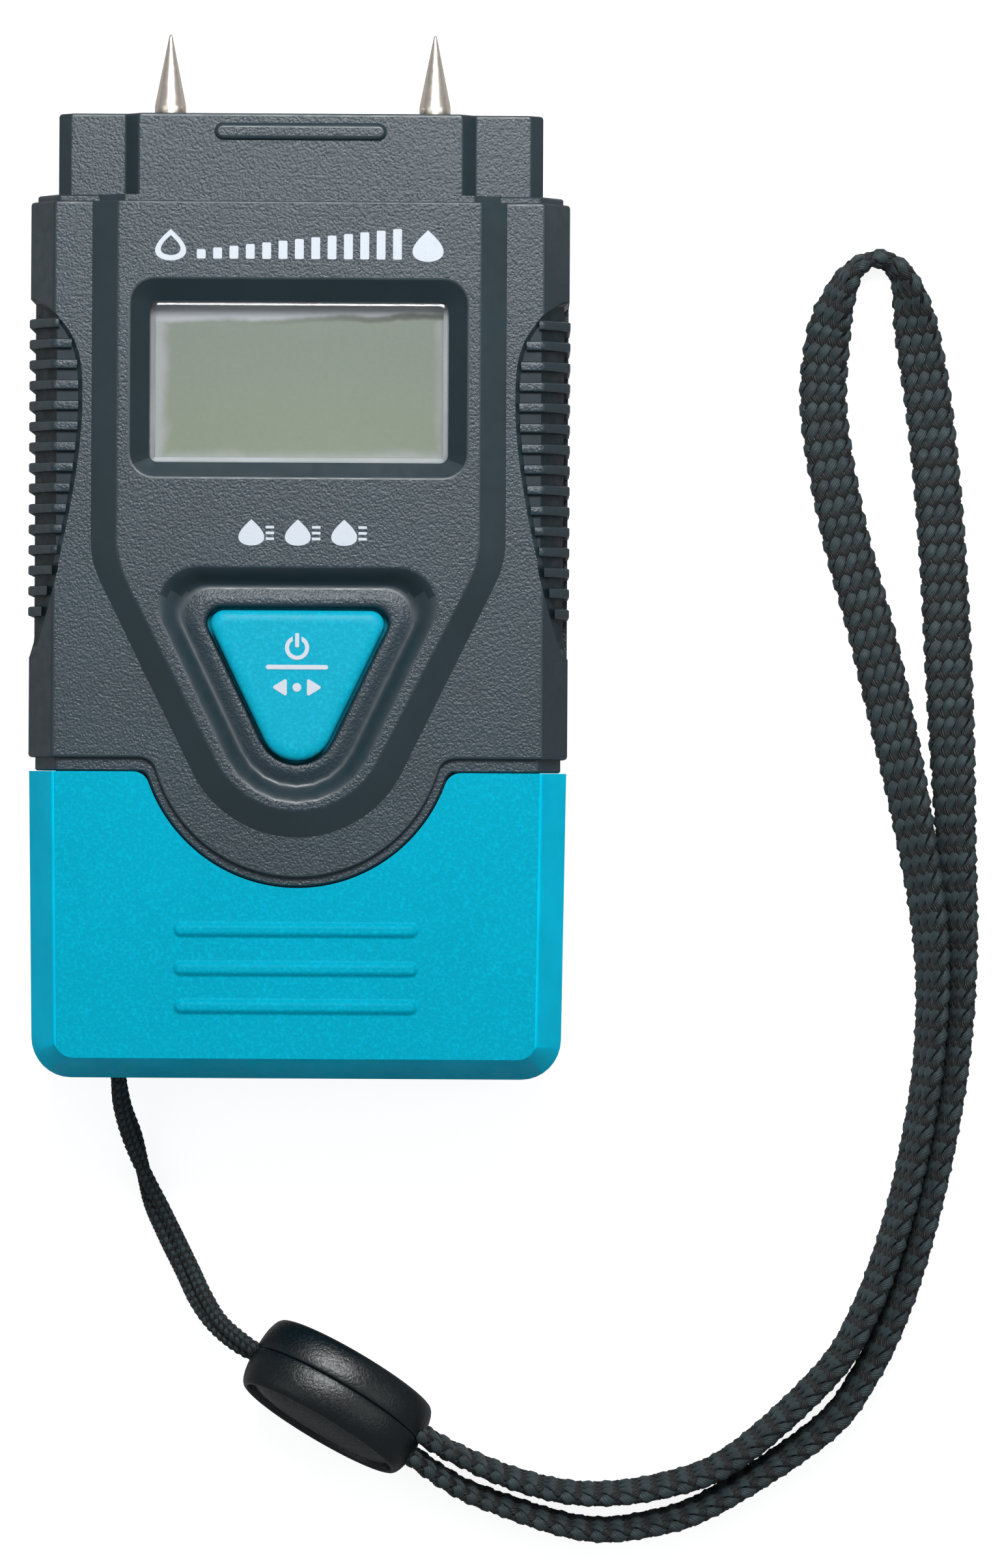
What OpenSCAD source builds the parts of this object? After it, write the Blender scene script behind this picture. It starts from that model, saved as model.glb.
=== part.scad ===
// Two-pin moisture meter with a removable end cap, a wrist strap and a coin-cell supply.
// X is across the case, Y points towards the electrodes and Z points out of the display panel.
// The origin is at the middle of the case's back, half way between the cap and the electrode tips.

/* [Overall] */
// Length from the cap's end to the electrode tips
overall_len = 100; // [92:1:124]
// Width of the case across its side walls
case_w = 51.4; // [50:0.2:64]
// Thickness from the back to the display panel
case_t = 26; // [25:0.5:32]
// Wall thickness of both case shells
wall = 2; // [1.6:0.1:2.4]

/* [Electrodes] */
// Distance between the electrode axes
pin_pitch = 25.4; // [21:0.1:30.6]
// Diameter of the exposed shank
pin_d = 3; // [2.4:0.1:3.6]
// Exposed length, shank and point together
pin_len = 8.1; // [6:0.1:10]
// Length of the straight part of the exposed shank
pin_straight = 1.3; // [1:0.1:2]
// Diameter of the threaded shank inside the socket
pin_shank_d = 2.4; // [1.9:0.1:2.9]
// Outer diameter of the brass socket
socket_d = 5.2; // [4.6:0.1:6.4]
// Length of the brass socket
socket_len = 9; // [8:0.5:11]

/* [Head and cap] */
// Length of the electrode head beyond the case
head_len = 8.5; // [7:0.5:10.5]
// Length of the cap
cap_len = 29.2; // [27:0.1:33]
// Thickness of the cap's side walls
cap_side = 2.4; // [2:0.1:2.6]
// Thickness of the cap's front wall
cap_front = 1.5; // [1.2:0.1:1.8]
// Thickness of the cap's back wall
cap_back = 1.8; // [1.4:0.1:2.1]
// Thickness of the cap's end wall
cap_end = 2.4; // [2:0.1:2.8]
// Clearance between the cap and what it slides on
cap_fit = 0.2; // [0.15:0.05:0.3]
// Radius of the cap's U-shaped cut-out
cap_cut_r = 15; // [14.6:0.1:16]

/* [Display] */
// Width of the visible glass
glass_w = 28.4; // [24:0.2:31]
// Height of the visible glass
glass_h = 15.3; // [13:0.1:17]
// Depth of the glass below the panel
glass_depth = 1.3; // [1:0.1:1.6]

/* [Button] */
// Width of the button's triangle across its top corners, before rounding
button_w = 18; // [15:0.2:20]
// Height of that triangle, from its top edge to its lower corner
button_h = 18.7; // [16:0.1:20]
// Clearance round the button
button_fit = 0.3; // [0.25:0.05:0.4]
// Travel of the button
button_travel = 0.5; // [0.3:0.1:0.5]

/* [Battery] */
// Diameter of a coin cell
cell_d = 20; // [16.6:0.1:24]
// Thickness of a coin cell
cell_t = 3.2; // [2.6:0.1:3.2]
// Number of coin cells in the stack
cell_count = 3; // [2:1:3]

/* [Strap] */
// Diameter of the thin lanyard cord
lanyard_d = 1.1; // [0.9:0.1:1.2]
// Width of the braided strap
strap_w = 4.4; // [3.8:0.1:4.4]
// Thickness of the braided strap
strap_t = 1.9; // [1.6:0.1:1.9]
// Length of the cord bead
bead_len = 18.3; // [16:0.1:18.3]
// Height of the cord bead
bead_h = 11.5; // [10:0.1:11.5]
// Thickness of the cord bead
bead_t = 7.4; // [6.4:0.1:8]

/* [Hidden] */
$fn = 48;

// Colours
case_grey = [0.20, 0.23, 0.26];
cap_blue = [0.0, 0.62, 0.76];
cord_black = [0.05, 0.055, 0.06];

// Lengths along the meter, measured from its middle
y_tip = overall_len / 2;
y_head = y_tip - pin_len;
y_top = y_head - head_len;
y_end = -overall_len / 2;
y_mouth = y_end + cap_len;
mouth_gap = 1.3;
cap_corner_r = 3.5;
cap_bevel = 2;
cap_mouth_r = 0.3;
cap_bar_hw = 11.65;
cap_bar_r = 0.6;
cap_bar_h = 0.4;
cap_bar_ys = [6.9, 10.5, 14.2];
y_bottom = y_mouth + mouth_gap;
cord_room = 3;
y_plug = y_end + cap_end + cord_room;

// Case section
case_hw = case_w / 2;
panel_rise = 1.8;
edge_in = 2.4;
edge_drop = 4.2;
edge_len = norm([edge_in, edge_drop]);
back_chamfer = 3.5;
z_panel = case_t;
z_shoulder = z_panel - panel_rise;
z_edge = z_shoulder - edge_drop;
z_split = case_t / 2;
panel_side = 6;
panel_slope = 2.5;
panel_hw = case_hw - panel_side;
lip_in = 0.65;
lip_len = 0.6;

// Raised bar on the head
bar_hw = 8.1;
bar_r = 0.72;
bar_y = y_head - 1.75;

// Section of the head and of the plug, which the cap fits over
neck_hw = case_hw - cap_side - cap_fit;
neck_z0 = cap_back + cap_fit;
neck_z1 = z_shoulder - cap_front - cap_fit;
neck_step = 1.7;
neck_mid_in = 6.4;
neck_slope = 1.3;
neck_chamfer = 2.5;
neck_bevel = 1.2;

// Lower lobe of the panel, and the button in it
lobe_r = 14;
lobe_y = y_mouth + 4;
lobe_lip_r = 14.85;
lobe_root = 0.35;
lobe_deep = cap_front + lobe_root;
panel_tail_r = 11.1;
panel_tail_y = lobe_y + 0.9;
panel_bend_y = y_mouth + 19.9;
button_y = y_mouth + 15.35;
button_tilt = atan(button_w / 2 / button_h);
button_r_top = 1.3;
button_r_low = 3.4;
button_flange = 2;
flange_drop = 2.9;
dish_margin = 3.95;
dish_depth = 1.1;
ridge_out = 1.95;
ridge_in = 0.9;
ridge_h = 0.6;
button_crown = 0.2;
button_step = 0.4;
flange_t = 1;
flange_gap = 0.02;
press_y = button_y - 6.55;
switch_h = 3.5;
switch_reach = 1.1;
plunger_r = 1.7;
plunger_root = 0.4;
plunger_room = 0.1;
switch_hw = 3;
button_stem_r = 2.4;

// Display
glass_y = y_top - 17.15;
window_slope = 1.65;
window_slope_low = 1.3;
window_slope_top = 1.9;
window_r = 2.2;
window_pocket = 2.3;
window_flange = 1.4;
window_flange_t = 1.2;
gasket_t = 0.5;
gasket_in = 0.5;
window_gap = 0.05;
lcd_glass_t = 1.1;
lcd_margin = 1;
lcd_ledge = 2.6;
reflector_t = 0.2;
holder_wall = 0.9;
holder_gap = 0.1;
holder_ledge = 1.8;
zebra_w = 1.8;
zebra_inset = 0.3;
z_window = z_panel - wall;
z_gasket = z_window - window_flange_t;
z_lcd = z_gasket - gasket_t;
lcd_hw = glass_w / 2 + lcd_margin;
lcd_y0 = glass_y - glass_h / 2 - 2;
lcd_y1 = glass_y + glass_h / 2 + lcd_margin;
lcd_z1 = z_lcd - lcd_glass_t;
lcd_z0 = lcd_z1 - lcd_glass_t;
zebra_hw = lcd_hw - 1;

// Main board
board_t = 1.6;
board_drop = 10.4;
board_z1 = z_panel - board_drop;
board_z0 = board_z1 - board_t;
board_hw = case_hw - 4.2;
board_y0 = y_bottom + wall + 1;
board_y1 = y_top - wall - 1;

// Fasteners
post_r = 3;
post_gap = 0.4;
screw_x = case_hw - 6.2;
screw_ys = [y_top - 6.4, y_bottom + 6.5];
screw_r = 1.1;
screw_head_r = 2;
screw_head_t = 1.5;
screw_head_z = 3;
screw_bite = 8;
cross_hw = 1.3;
cross_t = 0.5;
cross_deep = 0.7;
bore_gap = 0.2;
thread_gap = 0.02;
board_screw_x = case_hw - 6.7;
board_screw_y = glass_y - 10;
board_screw_r = 0.8;
board_boss_r = 2.1;
board_screw_head_r = 1.5;
board_screw_head_t = 0.9;
board_screw_bite = 3.4;

// Parts on the board
parts_y = lcd_y0 - 10.5;
chip_x = -9;
chip_w = 6;
chip_t = 1.5;
sensor_x = 5;
sensor_r = 0.9;
sensor_len = 3;
sensor_z = 1.2;
leg_r = 0.25;
legs_x = [0.6, 2.4];

// Electrode sockets
pin_z = z_split;
pin_tip_r = 0.12;
wall_hole_gap = 0.2;
socket_y1 = y_head - wall;
socket_y0 = socket_y1 - socket_len;
socket_floor = 2;
lead_r = 0.5;
lead_run = 2.3;
rib_t = 2;

// Battery bay
bay_y = y_bottom + 22.5;
cell_r = cell_d / 2;
cell_gap = 0.35;
door_z = 0.2;
door_r = cell_r + 2.8;
door_t = 1.5;
door_gap = 0.3;
ledge_r = cell_r + 1.8;
ledge_z0 = 1.75;
ledge_z1 = 2.75;
bay_z1 = 4.3;
neck_r = cell_r + 1.3;
lug_z0 = 2.85;
lug_z1 = 3.95;
lug_half_angle = 13;
notch_half_angle = 16;
door_turn = 40;
cells_z0 = 4.05;
cells_z1 = cells_z0 + cell_count * cell_t;
cradle_t = 1.3;
contact_t = 0.3;
contact_w = 4;
contact_gap = 0.02;
contact_disc_r = 4;
contact_stem_r = 1.2;
contact_over = 0.3;
contact_z0 = bay_z1 + 0.8;
cell_rim = 1.6;
cell_step = 0.4;

// Side grips
grip_deep = 4.85;
grip_peak = y_bottom + 33.4;
grip_up = 10.3;
grip_down = 24;
grip_floor = 0.5;
grip_z0 = 5;
grip_z1 = z_panel;
rib_count = 15;
rib_pitch = 1.957;
rib_w = 0.93;
rib_first = grip_peak + 7.9;
rib_proud = 0.1;

// Lanyard, bead and strap
eyelet_x = -17.4;
eyelet_z = [4.6, 8.2];
eyelet_r = 0.9;
bead_at = [3.9, -81.1, 6.3];
bead_turn = -30.4;
bead_lean = -17;
bead_rim = 0.62;

// The routes below start from a cap that ends at y = -50, so they move with the cap's end
cord_shift = [0, y_end + 50, 0];

// Route of the lanyard cord, from the bead through the cap's upper eyelet and back through the lower one
lanyard_route = [
    [-3.0, -77.2, 6.8], [-5.2, -75.8, 5.9], [-7.4, -74.0, 4.2], [-9.0, -71.6, 2.7],
    [-10.2, -69.2, 1.5], [-11.6, -66.4, 1.0], [-13.2, -63.2, 1.4], [-15.0, -59.6, 3.0],
    [-16.4, -56.2, 5.2], [-17.2, -53.1, 7.2], [-17.4, -50.4, 8.2], [-17.4, -48.4, 8.2],
    [-17.4, -46.6, 7.9], [-17.4, -45.9, 6.4], [-17.4, -46.6, 4.9], [-17.4, -48.4, 4.6],
    [-17.4, -50.4, 4.6], [-16.9, -53.2, 3.6], [-15.9, -56.2, 1.8], [-15.2, -59.4, 0.8],
    [-14.4, -62.8, 0.6], [-12.9, -66.2, 0.6], [-11.4, -69.2, 0.6], [-9.9, -72.2, 1.6],
    [-8.0, -74.6, 3.2], [-5.6, -76.4, 4.9], [-3.4, -77.4, 5.6]
];

// Route of the strap: x, y, lift above the surface, and the roll of its flat side in degrees
strap_route = [
    [9.6, -85.6, 4.0, 84], [14.0, -88.9, 1.6, 82], [18.0, -91.0, 0.2, 78], [27.4, -93.9, 0, 73],
    [34.2, -93.5, 0, 70], [40.6, -91.2, 0, 67], [50.9, -84.3, 0, 64], [55.0, -79.0, 0, 64],
    [58.0, -72.6, 0, 63], [60.4, -64.8, 0, 62], [62.3, -56.2, 0, 60], [63.6, -47.4, 0, 58],
    [64.0, -37.6, 0, 50], [63.5, -25.0, 0, 36], [62.9, -12.0, 0, 10], [62.1, 2.0, 0, 0],
    [60.9, 14.0, 0, 2], [59.6, 22.0, 0, 22], [58.7, 26.2, 0, 56], [57.5, 28.5, 0, 78],
    [55.5, 29.4, 0, 90], [53.5, 28.4, 0, 102], [52.1, 26.0, 0, 124], [50.9, 21.6, 0, 158],
    [50.6, 14.0, 0, 178], [52.6, 3.0, 0, 180], [55.6, -8.0, 0, 174], [59.2, -24.2, 0.3, 144],
    [61.2, -37.0, 0.6, 130], [61.1, -47.6, 0.2, 121], [59.7, -57.2, 0, 119], [57.7, -65.4, 0, 117],
    [54.9, -73.0, 0, 116], [51.2, -79.0, 0, 115], [42.4, -87.0, 0, 112], [35.4, -89.8, 0, 109],
    [28.0, -90.6, 0, 106], [21.4, -89.3, 0.1, 103], [15.2, -86.6, 1.6, 98], [10.6, -83.8, 4.0, 96]
];

// ---------- outlines ----------

// Points of an arc of radius r that rounds corner b between a and c
function corner(a, b, c, r, n = 6) =
    let (u = (a - b) / norm(a - b), v = (c - b) / norm(c - b))
    let (half = acos(u * v) / 2, w = (u + v) / norm(u + v), o = b + w * r / sin(half))
    let (p = b + u * r / tan(half) - o, q = b + v * r / tan(half) - o)
    let (a0 = atan2(p.y, p.x), turn = (atan2(q.y, q.x) - a0 + 540) % 360 - 180)
    [for (i = [0 : n]) o + r * [cos(a0 + turn * i / n), sin(a0 + turn * i / n)]];

// A polygon with each corner rounded by its own radius
function rounded(pts, radii) =
    let (n = len(pts))
    [for (i = [0 : n - 1]) each corner(pts[(i + n - 1) % n], pts[i], pts[(i + 1) % n], radii[i])];

function rect_pts(hw, y0, y1) = [[hw, y0], [hw, y1], [-hw, y1], [-hw, y0]];

// The button's triangle, grown outwards by g
function button_pts(g) =
    let (y = button_y + g, side = g / cos(button_tilt))
    let (x = button_w / 2 + side + g * tan(button_tilt))
    rounded([[x, y], [-x, y], [0, button_y - (button_w / 2 + side) / tan(button_tilt)]],
            [button_r_top + 0.6 * g, button_r_top + 0.6 * g, button_r_low + g]);

// Case section, inset by g
function case_pts(g) =
    let (back = (sqrt(2) - 1) * g, x0 = case_hw - g)
    let (z = z_edge - g * (edge_len - edge_drop) / edge_in)
    let (x1 = case_hw - edge_in - g * (edge_len - edge_in) / edge_drop)
    let (x2 = case_hw - back_chamfer - back)
    [[-x2, g], [x2, g], [x0, back_chamfer + back], [x0, z], [x1, z_shoulder - g],
     [-x1, z_shoulder - g], [-x0, z], [-x0, back_chamfer + back]];

// Section of the head and plug, grown by g
function neck_pts(g) =
    let (w = neck_hw + g, b = neck_z0 - g, t = neck_z1 + g, s = t - neck_step)
    let (m = neck_hw - neck_mid_in + g)
    [[neck_chamfer - w, b], [w - neck_chamfer, b], [w, b + neck_chamfer], [w, s - neck_bevel],
     [w - neck_bevel, s], [m, s], [m - neck_slope, t], [neck_slope - m, t], [-m, s],
     [neck_bevel - w, s], [-w, s - neck_bevel], [-w, b + neck_chamfer]];

// How far the grip recess reaches in from the side at height y
function grip_in(y) = y > grip_peak
    ? grip_deep * (1 - pow((y - grip_peak) / grip_up, 3.6))
    : grip_deep * (1 - pow((grip_peak - y) / grip_down, 1.6));

// ---------- helpers ----------

module along_y(y0, y1) translate([0, y1, 0]) rotate([90, 0, 0]) linear_extrude(y1 - y0) children();

module along_z(z0, z1) translate([0, 0, z0]) linear_extrude(z1 - z0) children();

module both_sides() for (s = [-1, 1]) scale([s, 1, 1]) children();

module rod_y(r, y0, y1) translate([0, y1, 0]) rotate([90, 0, 0]) cylinder(r = r, h = y1 - y0);

module block(hw, y0, y1, z0, z1) translate([-hw, y0, z0]) cube([2 * hw, y1 - y0, z1 - z0]);

module front_half() intersection() {
    children();
    block(case_w, y_end, y_tip, z_split, z_panel + 1);
}

module rear_half() intersection() {
    children();
    block(case_w, y_end, y_tip, -1, z_split);
}

// Case, lips, head and plug as one solid, before it is hollowed and parted
module case_body() {
    along_y(y_bottom, y_top) polygon(case_pts(0));
    along_y(y_mouth, y_top + lip_len) polygon(case_pts(lip_in));
    along_y(y_plug, y_head) polygon(neck_pts(0));
}

module case_hollow() {
    along_y(y_bottom + wall, y_top - wall) polygon(case_pts(wall));
    along_y(y_plug + wall, y_head - wall) polygon(neck_pts(-wall));
}

module screw_places() for (sx = [-1, 1], y = screw_ys) translate([sx * screw_x, y, 0]) children();

module board_screw_places() both_sides_at(board_screw_x, board_screw_y) children();

module both_sides_at(x, y) for (s = [-1, 1]) translate([s * x, y, 0]) children();

// Region of both side grips seen from the front
module grip_plan() {
    steps = 20;
    y0 = grip_peak - grip_down;
    y1 = grip_peak + grip_up;
    inner = [for (i = [0 : steps]) let (y = y0 + (y1 - y0) * i / steps) [case_hw - grip_in(y), y]];
    for (s = [-1, 1])
        polygon([for (p = concat(inner, [[case_w, y1], [case_w, y0]])) [s * p.x, p.y]]);
}

module grip_cut() difference() {
    along_z(grip_z0, grip_z1) grip_plan();
    along_y(y_bottom - 1, y_top + 1) polygon(case_pts(grip_floor));
}

module grip_ribs() intersection() {
    along_z(grip_z0 - 0.1, grip_z1) grip_plan();
    along_y(y_bottom, y_top) polygon(case_pts(-rib_proud));
    difference() {
        for (i = [0 : rib_count - 1])
            block(case_w, rib_first - i * rib_pitch - rib_w / 2, rib_first - i * rib_pitch + rib_w / 2,
                  grip_z0, grip_z1);
        along_y(y_bottom, y_top) polygon(case_pts(grip_floor + 0.3));
    }
}

module socket_seats() for (y = [socket_y0 + 1, socket_y1 - rib_t])
    block(neck_hw - wall - 0.5, y, y + rib_t, neck_z0 + wall - 0.5, neck_z1 - wall - neck_step + 0.5);

module socket_bores() {
    both_sides_at(pin_pitch / 2, 0) translate([0, 0, pin_z]) {
        rod_y(socket_d / 2 + thread_gap, socket_y0 - 1, socket_y1);
        rod_y(pin_d / 2 + wall_hole_gap, socket_y1 - 0.5, y_head + 1);
    }
}

// ---------- case ----------

module front_shell() color(case_grey) difference() {
    union() {
        difference() {
            front_half() union() {
                difference() {
                    case_body();
                    grip_cut();
                }
                grip_ribs();
            }
            case_hollow();
        }
        front_panel();
        intersection() {
            screw_places() translate([0, 0, z_split]) cylinder(r = post_r, h = z_shoulder - z_split - 1);
            along_y(y_bottom, y_top) polygon(case_pts(1));
        }
        board_screw_places() translate([0, 0, board_z1])
            cylinder(r = board_boss_r, h = z_shoulder - board_z1 - 1);
        front_half() socket_seats();
    }
    front_openings();
}

// Raised panel with its sloping border, and the lobe under it
module front_panel() {
    hull() {
        for (s = [[0, z_shoulder - 0.5, panel_slope * 0.5 / panel_rise], [panel_slope, z_panel, 0]])
            translate([0, 0, s[1]]) linear_extrude(s[0] > 0 ? 0.001 : 0.5) {
                polygon(rect_pts(panel_hw - s[0], panel_bend_y, y_top));
                translate([0, panel_tail_y]) circle(r = panel_tail_r - s[0]);
            }
    }
    translate([0, lobe_y, z_shoulder - lobe_deep]) {
        cylinder(r = lobe_r, h = lobe_deep);
        cylinder(r = lobe_lip_r, h = lobe_deep - lip_in);
    }
    along_z(neck_z1 - 0.5, neck_z1 + 0.5) {
        polygon(rect_pts(bar_hw - bar_r, bar_y - bar_r, bar_y + bar_r));
        for (s = [-1, 1]) translate([s * (bar_hw - bar_r), bar_y]) circle(r = bar_r);
    }
}

module front_openings() {
    // The display window: a sloping recess, an opening, and a pocket for the window's flange
    hull() {
        along_z(z_panel, z_panel + 1)
            polygon(rounded(rect_pts(glass_w / 2 + window_slope, glass_y - glass_h / 2 - window_slope_low,
                                     glass_y + glass_h / 2 + window_slope_top),
                            [window_r, window_r, window_r, window_r]));
        along_z(z_panel - glass_depth, z_panel)
            polygon(rect_pts(glass_w / 2, glass_y - glass_h / 2, glass_y + glass_h / 2));
    }
    along_z(z_window - 1, z_panel)
        polygon(rect_pts(glass_w / 2, glass_y - glass_h / 2, glass_y + glass_h / 2));
    block(glass_w / 2 + window_pocket, glass_y - glass_h / 2 - window_pocket,
          glass_y + glass_h / 2 + window_pocket, z_shoulder - wall - 1, z_window);
    // The dish round the button, the button's opening, and the pocket for its flange
    difference() {
        along_z(z_panel - dish_depth, z_panel + 1) polygon(button_pts(dish_margin));
        along_z(z_panel - dish_depth - 1, z_panel - dish_depth + ridge_h) difference() {
            polygon(button_pts(ridge_out));
            polygon(button_pts(ridge_in));
        }
    }
    along_z(z_shoulder - wall - 2, z_panel + 1) polygon(button_pts(button_fit));
    along_z(z_shoulder - wall - 2, z_panel - flange_drop) polygon(button_pts(button_flange + button_fit));
    screw_places() translate([0, 0, z_split - 1]) cylinder(r = screw_r + thread_gap, h = screw_bite + 1);
    board_screw_places() translate([0, 0, board_z1 - 1]) cylinder(r = board_screw_r + thread_gap, h = 5);
    socket_bores();
}

module rear_shell() color(case_grey) difference() {
    union() {
        difference() {
            rear_half() union() {
                difference() {
                    case_body();
                    grip_cut();
                }
                grip_ribs();
            }
            case_hollow();
        }
        screw_places() translate([0, 0, wall - 0.5]) cylinder(r = post_r, h = z_split - wall + 0.5);
        translate([0, bay_y, wall - 0.5]) cylinder(r = door_r + door_gap + 2, h = bay_z1 - wall + 0.5);
        rear_half() socket_seats();
    }
    screw_places() {
        translate([0, 0, -1]) cylinder(r = screw_r + bore_gap, h = z_split + 2);
        translate([0, 0, -1]) cylinder(r = screw_head_r + bore_gap, h = screw_head_z + screw_head_t + 1);
    }
    translate([0, bay_y, 0]) {
        translate([0, 0, -1]) cylinder(r = door_r + door_gap, h = ledge_z0 + 1);
        translate([0, 0, -1]) cylinder(r = ledge_r, h = bay_z1 + 2);
        translate([0, 0, ledge_z1]) cylinder(r = door_r + door_gap, h = bay_z1);
        bay_sectors(ledge_r - 1, door_r, notch_half_angle, door_turn, ledge_z0 - 0.5, ledge_z1 + 0.5);
    }
    socket_bores();
}

// Three sectors of a ring, used for the door's lugs and for the notches that let them in
module bay_sectors(r0, r1, half, turn, z0, z1) for (a = [0, 120, 240]) intersection() {
    reach = 2 * r1;
    translate([0, 0, z0]) difference() {
        cylinder(r = r1, h = z1 - z0);
        translate([0, 0, -1]) cylinder(r = r0, h = z1 - z0 + 2);
    }
    rotate([0, 0, a + turn]) along_z(z0, z1)
        polygon([[0, 0], [reach * cos(half), -reach * sin(half)], [reach * cos(half), reach * sin(half)]]);
}

module case_screws() color("silver") screw_places() {
    difference() {
        translate([0, 0, screw_head_z]) cylinder(r = screw_head_r, h = screw_head_t);
        for (a = [0, 90]) rotate([0, 0, a])
            block(cross_hw, -cross_t / 2, cross_t / 2, screw_head_z - 1, screw_head_z + cross_deep);
    }
    neck_z = screw_head_z + screw_head_t;
    translate([0, 0, neck_z]) cylinder(r = screw_r, h = z_split + screw_bite - neck_z - 0.5);
}

// ---------- display ----------

module display_window() color([0.75, 0.8, 0.78]) {
    f = window_flange;
    block(glass_w / 2 + f, glass_y - glass_h / 2 - f, glass_y + glass_h / 2 + f, z_gasket, z_window);
    block(glass_w / 2 - window_gap, glass_y - glass_h / 2 + window_gap,
          glass_y + glass_h / 2 - window_gap, z_gasket, z_panel - glass_depth);
}

module display_gasket() color("dimgray") difference() {
    f = window_flange;
    block(glass_w / 2 + f, glass_y - glass_h / 2 - f, glass_y + glass_h / 2 + f, z_lcd, z_gasket);
    block(glass_w / 2 - gasket_in, glass_y - glass_h / 2 + gasket_in, glass_y + glass_h / 2 - gasket_in,
          z_lcd - 1, z_gasket + 1);
}

module lcd_front_glass() color([0.6, 0.66, 0.58]) block(lcd_hw, lcd_y0, lcd_y1, lcd_z1, z_lcd);

module lcd_rear_glass() color([0.55, 0.61, 0.53])
    block(lcd_hw, lcd_y0 + lcd_ledge, lcd_y1, lcd_z0, lcd_z1);

module lcd_reflector() color("lightgray")
    block(lcd_hw - 0.2, lcd_y0 + lcd_ledge + 0.2, lcd_y1 - 0.2, lcd_z0 - reflector_t, lcd_z0);

module lcd_holder() color("white") difference() {
    g = holder_gap;
    block(lcd_hw + g + holder_wall, lcd_y0 - g - holder_wall, lcd_y1 + g + holder_wall,
          board_z1, z_lcd - g);
    block(lcd_hw + g, lcd_y0 - g, lcd_y1 + g, lcd_z0 - reflector_t, z_lcd + 1);
    block(lcd_hw - holder_ledge, lcd_y0 + lcd_ledge + 1.5, lcd_y1 - 1.5, board_z1 - 1, z_lcd);
    block(zebra_hw + 0.2, lcd_y0 + zebra_inset - g, lcd_y0 + zebra_inset + zebra_w + g,
          board_z1 - 1, z_lcd);
}

module zebra_connector() color("pink")
    block(zebra_hw, lcd_y0 + zebra_inset, lcd_y0 + zebra_inset + zebra_w, board_z1, lcd_z1);

// ---------- electronics ----------

module main_board() color("darkgreen") difference() {
    block(board_hw, board_y0, board_y1, board_z0, board_z1);
    screw_places() translate([0, 0, board_z0 - 1]) cylinder(r = post_r + post_gap, h = board_t + 2);
    both_sides() for (y = screw_ys) let (c = post_r + post_gap)
        translate([screw_x, y - c, board_z0 - 1]) cube([case_hw - screw_x, 2 * c, board_t + 2]);
    board_screw_places() translate([0, 0, board_z0 - 1])
        cylinder(r = board_screw_r + bore_gap, h = board_t + 2);
    both_sides_at(pin_pitch / 2, socket_y0 - lead_run) translate([0, 0, board_z0 - 1])
        cylinder(r = lead_r + bore_gap, h = board_t + 2);
    translate([0, bay_y, board_z0 - 1]) cylinder(r = contact_stem_r + bore_gap, h = board_t + 2);
    translate([cell_r - 0.1, bay_y - contact_w / 2 - bore_gap, board_z0 - 1])
        cube([2 * contact_t, contact_w + 2 * bore_gap, board_t + 2]);
}

module control_chip() color("black") translate([chip_x, parts_y, board_z1]) cube([chip_w, chip_w, chip_t]);

module thermistor() color("saddlebrown") {
    at = [sensor_x, parts_y + 1, board_z1 + sensor_z];
    translate(at) rotate([0, 90, 0]) cylinder(r = sensor_r, h = sensor_len);
    for (x = legs_x) translate([at.x + x, at.y, board_z1]) cylinder(r = leg_r, h = sensor_z);
}

module tact_switch_base() color("dimgray") difference() {
    block(switch_hw, press_y - switch_hw, press_y + switch_hw, board_z1, board_z1 + switch_h);
    translate([0, press_y, board_z1 + switch_h - plunger_root - button_travel - plunger_room])
        cylinder(r = plunger_r + 0.05, h = switch_h);
}

module tact_switch_plunger() color("ivory")
    translate([0, press_y, board_z1 + switch_h - plunger_root])
        cylinder(r = plunger_r, h = plunger_root + switch_reach);

module power_button() color(cap_blue) {
    flange_z1 = z_panel - flange_drop - flange_gap;
    stem_z0 = board_z1 + switch_h + switch_reach;
    along_z(flange_z1 - flange_t, flange_z1) polygon(button_pts(button_flange));
    along_z(flange_z1 - flange_t / 2, z_panel - 0.3) polygon(button_pts(0));
    along_z(z_panel - button_step, z_panel + button_crown) polygon(button_pts(-button_step));
    translate([0, press_y, stem_z0]) cylinder(r = button_stem_r, h = flange_z1 - flange_t / 2 - stem_z0);
}

// ---------- electrodes ----------

module electrode(side) color("silver") translate([side * pin_pitch / 2, 0, pin_z]) {
    rod_y(pin_shank_d / 2, socket_y0 + socket_floor + 0.4, y_head);
    rod_y(pin_d / 2, y_head, y_head + pin_straight);
    translate([0, y_head + pin_straight, 0]) rotate([-90, 0, 0])
        cylinder(r1 = pin_d / 2, r2 = pin_tip_r, h = pin_len - pin_straight);
}

module electrode_socket(side) color("gold") translate([side * pin_pitch / 2, 0, pin_z]) difference() {
    rod_y(socket_d / 2, socket_y0, socket_y1);
    rod_y(pin_shank_d / 2 + thread_gap, socket_y0 + socket_floor, socket_y1 + 1);
}

module electrode_lead(side) color("firebrick") translate([side * pin_pitch / 2, socket_y0 - lead_run, 0]) {
    translate([0, 0, pin_z]) rod_y(lead_r, 0, lead_run);
    translate([0, 0, pin_z]) sphere(r = lead_r);
    translate([0, 0, pin_z]) cylinder(r = lead_r, h = board_z1 + 0.4 - pin_z);
}

module electrode_left() electrode(-1);
module electrode_right() electrode(1);
module electrode_socket_left() electrode_socket(-1);
module electrode_socket_right() electrode_socket(1);
module electrode_lead_left() electrode_lead(-1);
module electrode_lead_right() electrode_lead(1);

// ---------- battery ----------

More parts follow.
